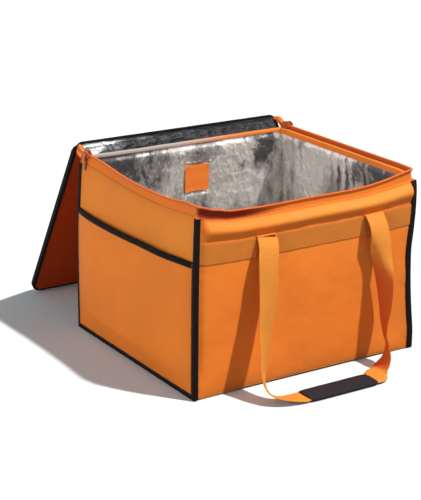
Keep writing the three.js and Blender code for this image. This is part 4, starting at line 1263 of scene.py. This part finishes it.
def hinge_line():
    """Black tape along the fold, with a narrow tongue into the lid's edge."""
    x = np.linspace(-221.5, 221.5, 170)[:, None]
    end = ease((np.abs(x) - 205) / 16.5)
    angles = np.linspace(math.radians(200), math.radians(520), 17)
    tongue = [(-3.2, 0.55), (-4.7, 0.5), (-4.7, -0.5), (-3.2, -0.55)]
    section = np.concatenate([join(2.7 * np.cos(angles) + 0.4, 2.7 * np.sin(angles)), tongue])
    sway = 0.25 * noise(x / 26, x * 0, 183)
    rings = on_lid(join(x, section[:, 0] - 5.5 * end, section[:, 1] + sway + 4.5 * end))
    obj = tube("hinge_fold_tape", rings, "binding", "lid", sharp=70)
    dress_sheet(obj, "black_binding", "hinge_binding", 443, 12.5, "folded", "gusset_cloth")


LID_ZIP_DEGREES = 68
LID_ZIP_DROP = 0.9
LID_COIL_PLACE = 10.4


def lid_zip():
    """The lid's half of the zip, whose tape has flopped in over the lining."""
    x = HALF_W - ZIP_INSET - RIM_LEAN
    inset = LID_HALF - x
    points, out = mouth_path(x, LID_LENGTH - inset / 2, LID_CORNERS[0] - inset, 4.0, back=-40.0)
    lean = math.radians(LID_ZIP_DEGREES)
    length = np.array([0.2, 1.8, 3.6, 5.4, 7.2, 8.8])
    s, c = math.sin(lean), math.cos(lean)
    faces = []
    for side in (-0.55, 0.55):
        height = -LID_ZIP_DROP - length * c + side * s
        faces.append(on_lid(beside(points, out, length * s + side * c, height)))
    tape = sandwich("lid_zip_cloth", *faces, "binding", "lid")
    dress_sheet(tape, "black_binding", "lid_zip_tape", 11.5, 1120, "stretched", "lid_edge_tape")
    inward, drop = LID_COIL_PLACE * s, LID_COIL_PLACE * c + LID_ZIP_DROP
    rings = on_lid(coil_rings(points, out, inward, -drop, 1.5, 1.3))
    coil = tube("lid_coil_teeth", rings, "black_coil", "lid", sharp=80)
    dress(coil, "black_binding", "lid_zip_coil")


# Carrying straps

# A stop of a leg gives its place sideways in widths of the webbing, outwards as a share of the grip's
# reach and upwards as a share of the fold's height, then its turn and tip in half turns, and its slant.
LEFT_LEG = (
    (0, 0, 1, 0, 0, 0), (-0.08, 0.12, 0.945, 0, 0, 0), (-0.2, 0.2, 0.88, 0, 0, 0),
    (-0.28, 0.26, 0.8, 0.01, 0, 0), (-0.34, 0.31, 0.68, 0.03, 0, 0), (-0.45, 0.37, 0.56, 0.067, 0, 0),
    (-0.62, 0.43, 0.42, 0.123, 0, 0), (-0.75, 0.5, 0.29, 0.19, -0.02, 0),
    (-0.92, 0.58, 0.17, 0.25, -0.06, 0), (-0.97, 0.69, 0.08, 0.3, -0.1, 0),
    (-0.84, 0.82, 0.036, 0.33, -0.1, 0), (-0.45, 0.94, 0.016, 0.41, -0.07, 0),
)
RIGHT_LEG = (
    (0, 0, 1, 1.0, 0, 0), (0.02, 0.13, 0.945, 1.0, 0, 0), (0.03, 0.22, 0.87, 0.99, 0, 0.3),
    (0.02, 0.27, 0.79, 0.93, 0, 0.9), (0.03, 0.29, 0.71, 0.76, 0, 1.0), (0.08, 0.31, 0.63, 0.63, 0, 0.9),
    (0.2, 0.31, 0.52, 0.55, 0, 0.6), (0.3, 0.3, 0.39, 0.475, 0, 0.3), (0.29, 0.31, 0.285, 0.4, 0, 0.1),
    (0.22, 0.4, 0.205, 0.35, 0, 0), (0.12, 0.53, 0.14, 0.325, 0, 0), (-0.1, 0.63, 0.07, 0.37, 0, 0),
    (-0.42, 0.68, 0.02, 0.45, 0, 0), (-0.64, 0.71, -0.002, 0.48, 0, 0), (-0.84, 0.76, -0.006, 0.5, 0, 0),
)
# Half of the webbing's section. The other half is the same one turned half round.
WEB_EDGE = (
    (-19, 0), (-18.7, -0.7), (-17.8, -0.95), (-9, -0.8), (0, -0.75), (9, -0.8), (17.8, -0.95),
    (18.7, -0.7),
)
HINGE_OUT = 9.0
HINGE_RISE = 1.9
GRIP_REACH = 82.0
GRIP_LENGTH = 138.0
GRIP_Z = 4.65
GRIP_SHIFT = -17.5
GRIP_LEAD = 10.0
HALF_TURN = np.array([-1, -1, 1])


def through(stops, steps):
    """A smooth line through stops, with evenly many points between each two."""
    stops = np.asarray(stops, float)
    ends = np.concatenate([[2 * stops[0] - stops[1]], stops, [2 * stops[-1] - stops[-2]]])
    line = []
    for i in range(1, len(ends) - 2):
        p0, p1, p2, p3 = ends[i - 1 : i + 3]
        d0, d1, d2 = (max(np.linalg.norm(b - a) ** 0.5, 1e-4) for a, b in ((p0, p1), (p1, p2), (p2, p3)))
        t1 = ((p1 - p0) / d0 - (p2 - p0) / (d0 + d1) + (p2 - p1) / d1) * d1
        t2 = ((p2 - p1) / d1 - (p3 - p1) / (d1 + d2) + (p3 - p2) / d2) * d1
        a = 2 * p1 - 2 * p2 + t1 + t2
        b = -3 * p1 + 3 * p2 - 2 * t1 - t2
        line.extend(((a * t + b) * t + t1) * t + p1 for t in np.arange(steps) / steps)
    line.append(stops[-1])
    return np.array(line)


def leg(fold, table):
    """The stops of one leg, from the place of its fold."""
    side, out, up, turn, tip, slant = np.array(table, float).T
    x, y = fold[0] + side * WEB_WIDTH, fold[1] - out * GRIP_REACH
    return join(x, y, GRIP_Z + (fold[2] - GRIP_Z) * up, turn * math.pi, tip * math.pi, slant)


def strap(end, sign):
    """A carrying strap and its grip. The rear one is laid out in front and turned half round."""
    height = BAND_TOP + HINGE_RISE
    folds = strap_fold(np.array(ANCHORS[end]), sign * (HALF_D + HINGE_OUT), height)
    way = 1 if sign < 0 else HALF_TURN
    left, right = folds[::-sign] * way
    mid = (left[0] + right[0]) / 2 + (GRIP_SHIFT if sign < 0 else 0.0)
    grip_y = left[1] - GRIP_REACH
    half = GRIP_LENGTH / 2
    straight = np.array([-half - GRIP_LEAD, -half, half, half + GRIP_LEAD])
    inner = join(mid + straight, grip_y, GRIP_Z, math.pi / 2, 0, 0)
    mirrored = tuple((-side, out, up, 1 - turn, tip, slant) for side, out, up, turn, tip, slant in LEFT_LEG)
    right_leg = leg(right, RIGHT_LEG if sign < 0 else mirrored)[::-1]
    stops = np.concatenate([leg(left, LEFT_LEG), inner, right_leg])
    steps = 9
    line = through(stops[:, :3], steps)
    places = np.arange(len(line)) / steps
    turn, tip, slant = (smooth_table(places, np.arange(len(stops)), column) for column in stops.T[3:])
    along = units(np.gradient(line, axis=0))
    across = join(np.cos(turn) * np.cos(tip), np.sin(turn) * np.cos(tip), np.sin(tip))
    across = units(across - along * (across * along).sum(1)[:, None])
    face = np.cross(along, across)
    run = run_along(line)
    edge = np.array(WEB_EDGE)
    section = np.concatenate([edge, -edge])
    in_grip = ease((np.abs(line[:, 0] - mid) - half) / 8)
    curl = 0.5 * noise(run / 55, run * 0, 191 + sign) * in_grip
    wide, thick = section.T
    lift = thick + curl[:, None] * (2 * wide / WEB_WIDTH) ** 2
    slanted = across + along * slant[:, None]
    rings = line[:, None, :] + slanted[:, None, :] * wide[:, None] + face[:, None, :] * lift[..., None]
    uv = join(run[:, None], wide + 40 * (thick > 0))
    # Painted shade: the front strap's right leg turns a deeper red where it has turned away, down to just
    # above the floor.
    right_side = ease((line[:, 0] - mid - half - 20) / 12)
    deep = ease((0.86 - turn / math.pi) / 0.3) * right_side * ease((line[:, 2] - 4.5) / 4)
    tone_and_painted_light = deep[:, None] if sign < 0 else 0.0
    body = f"{end}_handle"
    obj = tube(f"{end}_strap_webbing", rings * way, "web", body, uv=uv, sharp=70, tone_and_painted_light=tone_and_painted_light)
    node = f"{end}_handle_webbing"
    dress_sheet(obj, "webbing", node, WEB_WIDTH, run[-1], "hung", f"{end}_band_webbing")
    grip(end, mid, grip_y, sign, way)


def grip(end, mid, grip_y, sign, way):
    """Padded sleeve wrapped round the strap, with a seam and soft ends."""
    half = GRIP_LENGTH / 2
    x = np.linspace(-half, half, 66)[:, None]
    angles = all_round(32)
    c, s = np.cos(angles), np.sin(angles)
    wide = 21.0 * np.sign(c) * np.abs(c) ** 0.42
    tall = 4.25 * np.sign(s) * np.abs(s) ** 0.75
    ends = 1 - 0.10 * np.exp(-(half - np.abs(x)) / 3.5)
    ribs = 0.10 * np.sin(2 * math.pi * x / 4.2)
    lump = 0.25 * noise(x / 22, c[None, :] * 1.5, 201 + sign)
    seam = -0.5 * np.exp(-(((wide - 6) / 1.1) ** 2)) * (s > 0)
    faces = (np.abs(s) > 0.2) * np.sign(s)
    z = np.maximum(GRIP_Z + tall * ends + (ribs + lump + seam) * faces, 0.4)
    rings = join(mid + x, grip_y + wide * ends, z) * way
    uv = join(x, run_along(join(wide, tall)))
    obj = tube(f"{end}_grip_sleeve", rings, "grip", f"{end}_handle", uv=uv, sharp=75)
    dress_padding(obj, "grip_sleeve", f"{end}_grip")


# Floor and light

FLOOR_SIZE = 30.0
WORLD_LIGHT = 0.3


def sun(name, energy, degrees, color, direction):
    """A sun that seems so many degrees wide and shines from a direction."""
    light = bpy.data.lights.new(name, "SUN")
    light.energy = energy * math.pi
    light.angle = math.radians(degrees)
    light.color = color
    lamp = add_object(name, light)
    lamp.rotation_mode = "QUATERNION"
    lamp.rotation_quaternion = Vector(direction).normalized().to_track_quat("Z", "Y")


def make_stage():
    """The floor, a key light and a fill light, and the world's even light."""
    mesh = bpy.data.meshes.new("floor")
    corners = [(x * FLOOR_SIZE, y * FLOOR_SIZE, 0) for x, y in ((-1, -1), (1, -1), (1, 1), (-1, 1))]
    mesh.from_pydata(corners, [], [(0, 1, 2, 3)])
    mesh.materials.append(floor_material())
    add_object("floor", mesh)
    sun("key", 1.5, 2.2, (1.0, 0.985, 0.95), (0.37, -0.48, 1.0))
    sun("fill", 0.75, 50, (1.0, 0.97, 0.93), (-1.0, -0.12, 0.16))
    world = bpy.data.worlds.new("studio")
    bpy.context.scene.world = world
    world.use_nodes = True
    tree = world.node_tree
    background = tree.nodes["Background"]
    background.inputs["Color"].default_value = (1, 1, 1, 1)
    level = tree.nodes.new("ShaderNodeMapRange")
    level.inputs["To Min"].default_value = WORLD_LIGHT
    level.inputs["To Max"].default_value = 1.0
    tree.links.new(seen_directly(tree), level.inputs["Value"])
    tree.links.new(level.outputs["Result"], background.inputs["Strength"])
    bpy.context.scene.view_settings.view_transform = "Standard"


CAD_LOOKS = {
    "base_board": "board",
    "left_slider": "metal",
    "right_slider": "metal",
    "left_pull_tab": "metal",
    "right_pull_tab": "metal",
}


def paint_cad():
    """Finishes for the CAD nodes that stay."""
    for node, look in CAD_LOOKS.items():
        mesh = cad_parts[node].data
        mesh.materials.clear()
        mesh.materials.append(LOOKS[look])


make_camera()
for wall_side in SIDES:
    foam(wall_side)
    panel(wall_side)
    lining(wall_side)
floor_layers()
side_binding("left_seam_binding", -1, HALF_W - 5.5)
side_binding("right_seam_binding", 1, HALF_W - 9.5)
rim_facing()
body_zip()
for strap_end, strap_sign in (("front", -1), ("rear", 1)):
    band(strap_end, strap_sign)
    for strap_label, strap_x in zip(("left", "right"), ANCHORS[strap_end]):
        strap_anchor(strap_end, strap_sign, strap_x, strap_label)
    strap(strap_end, strap_sign)
pocket()
patch()
gusset()
for gather_label, gather_sign in (("left", -1), ("right", 1)):
    zip_gather(gather_label, gather_sign)
lid()
paint_cad()
make_stage()
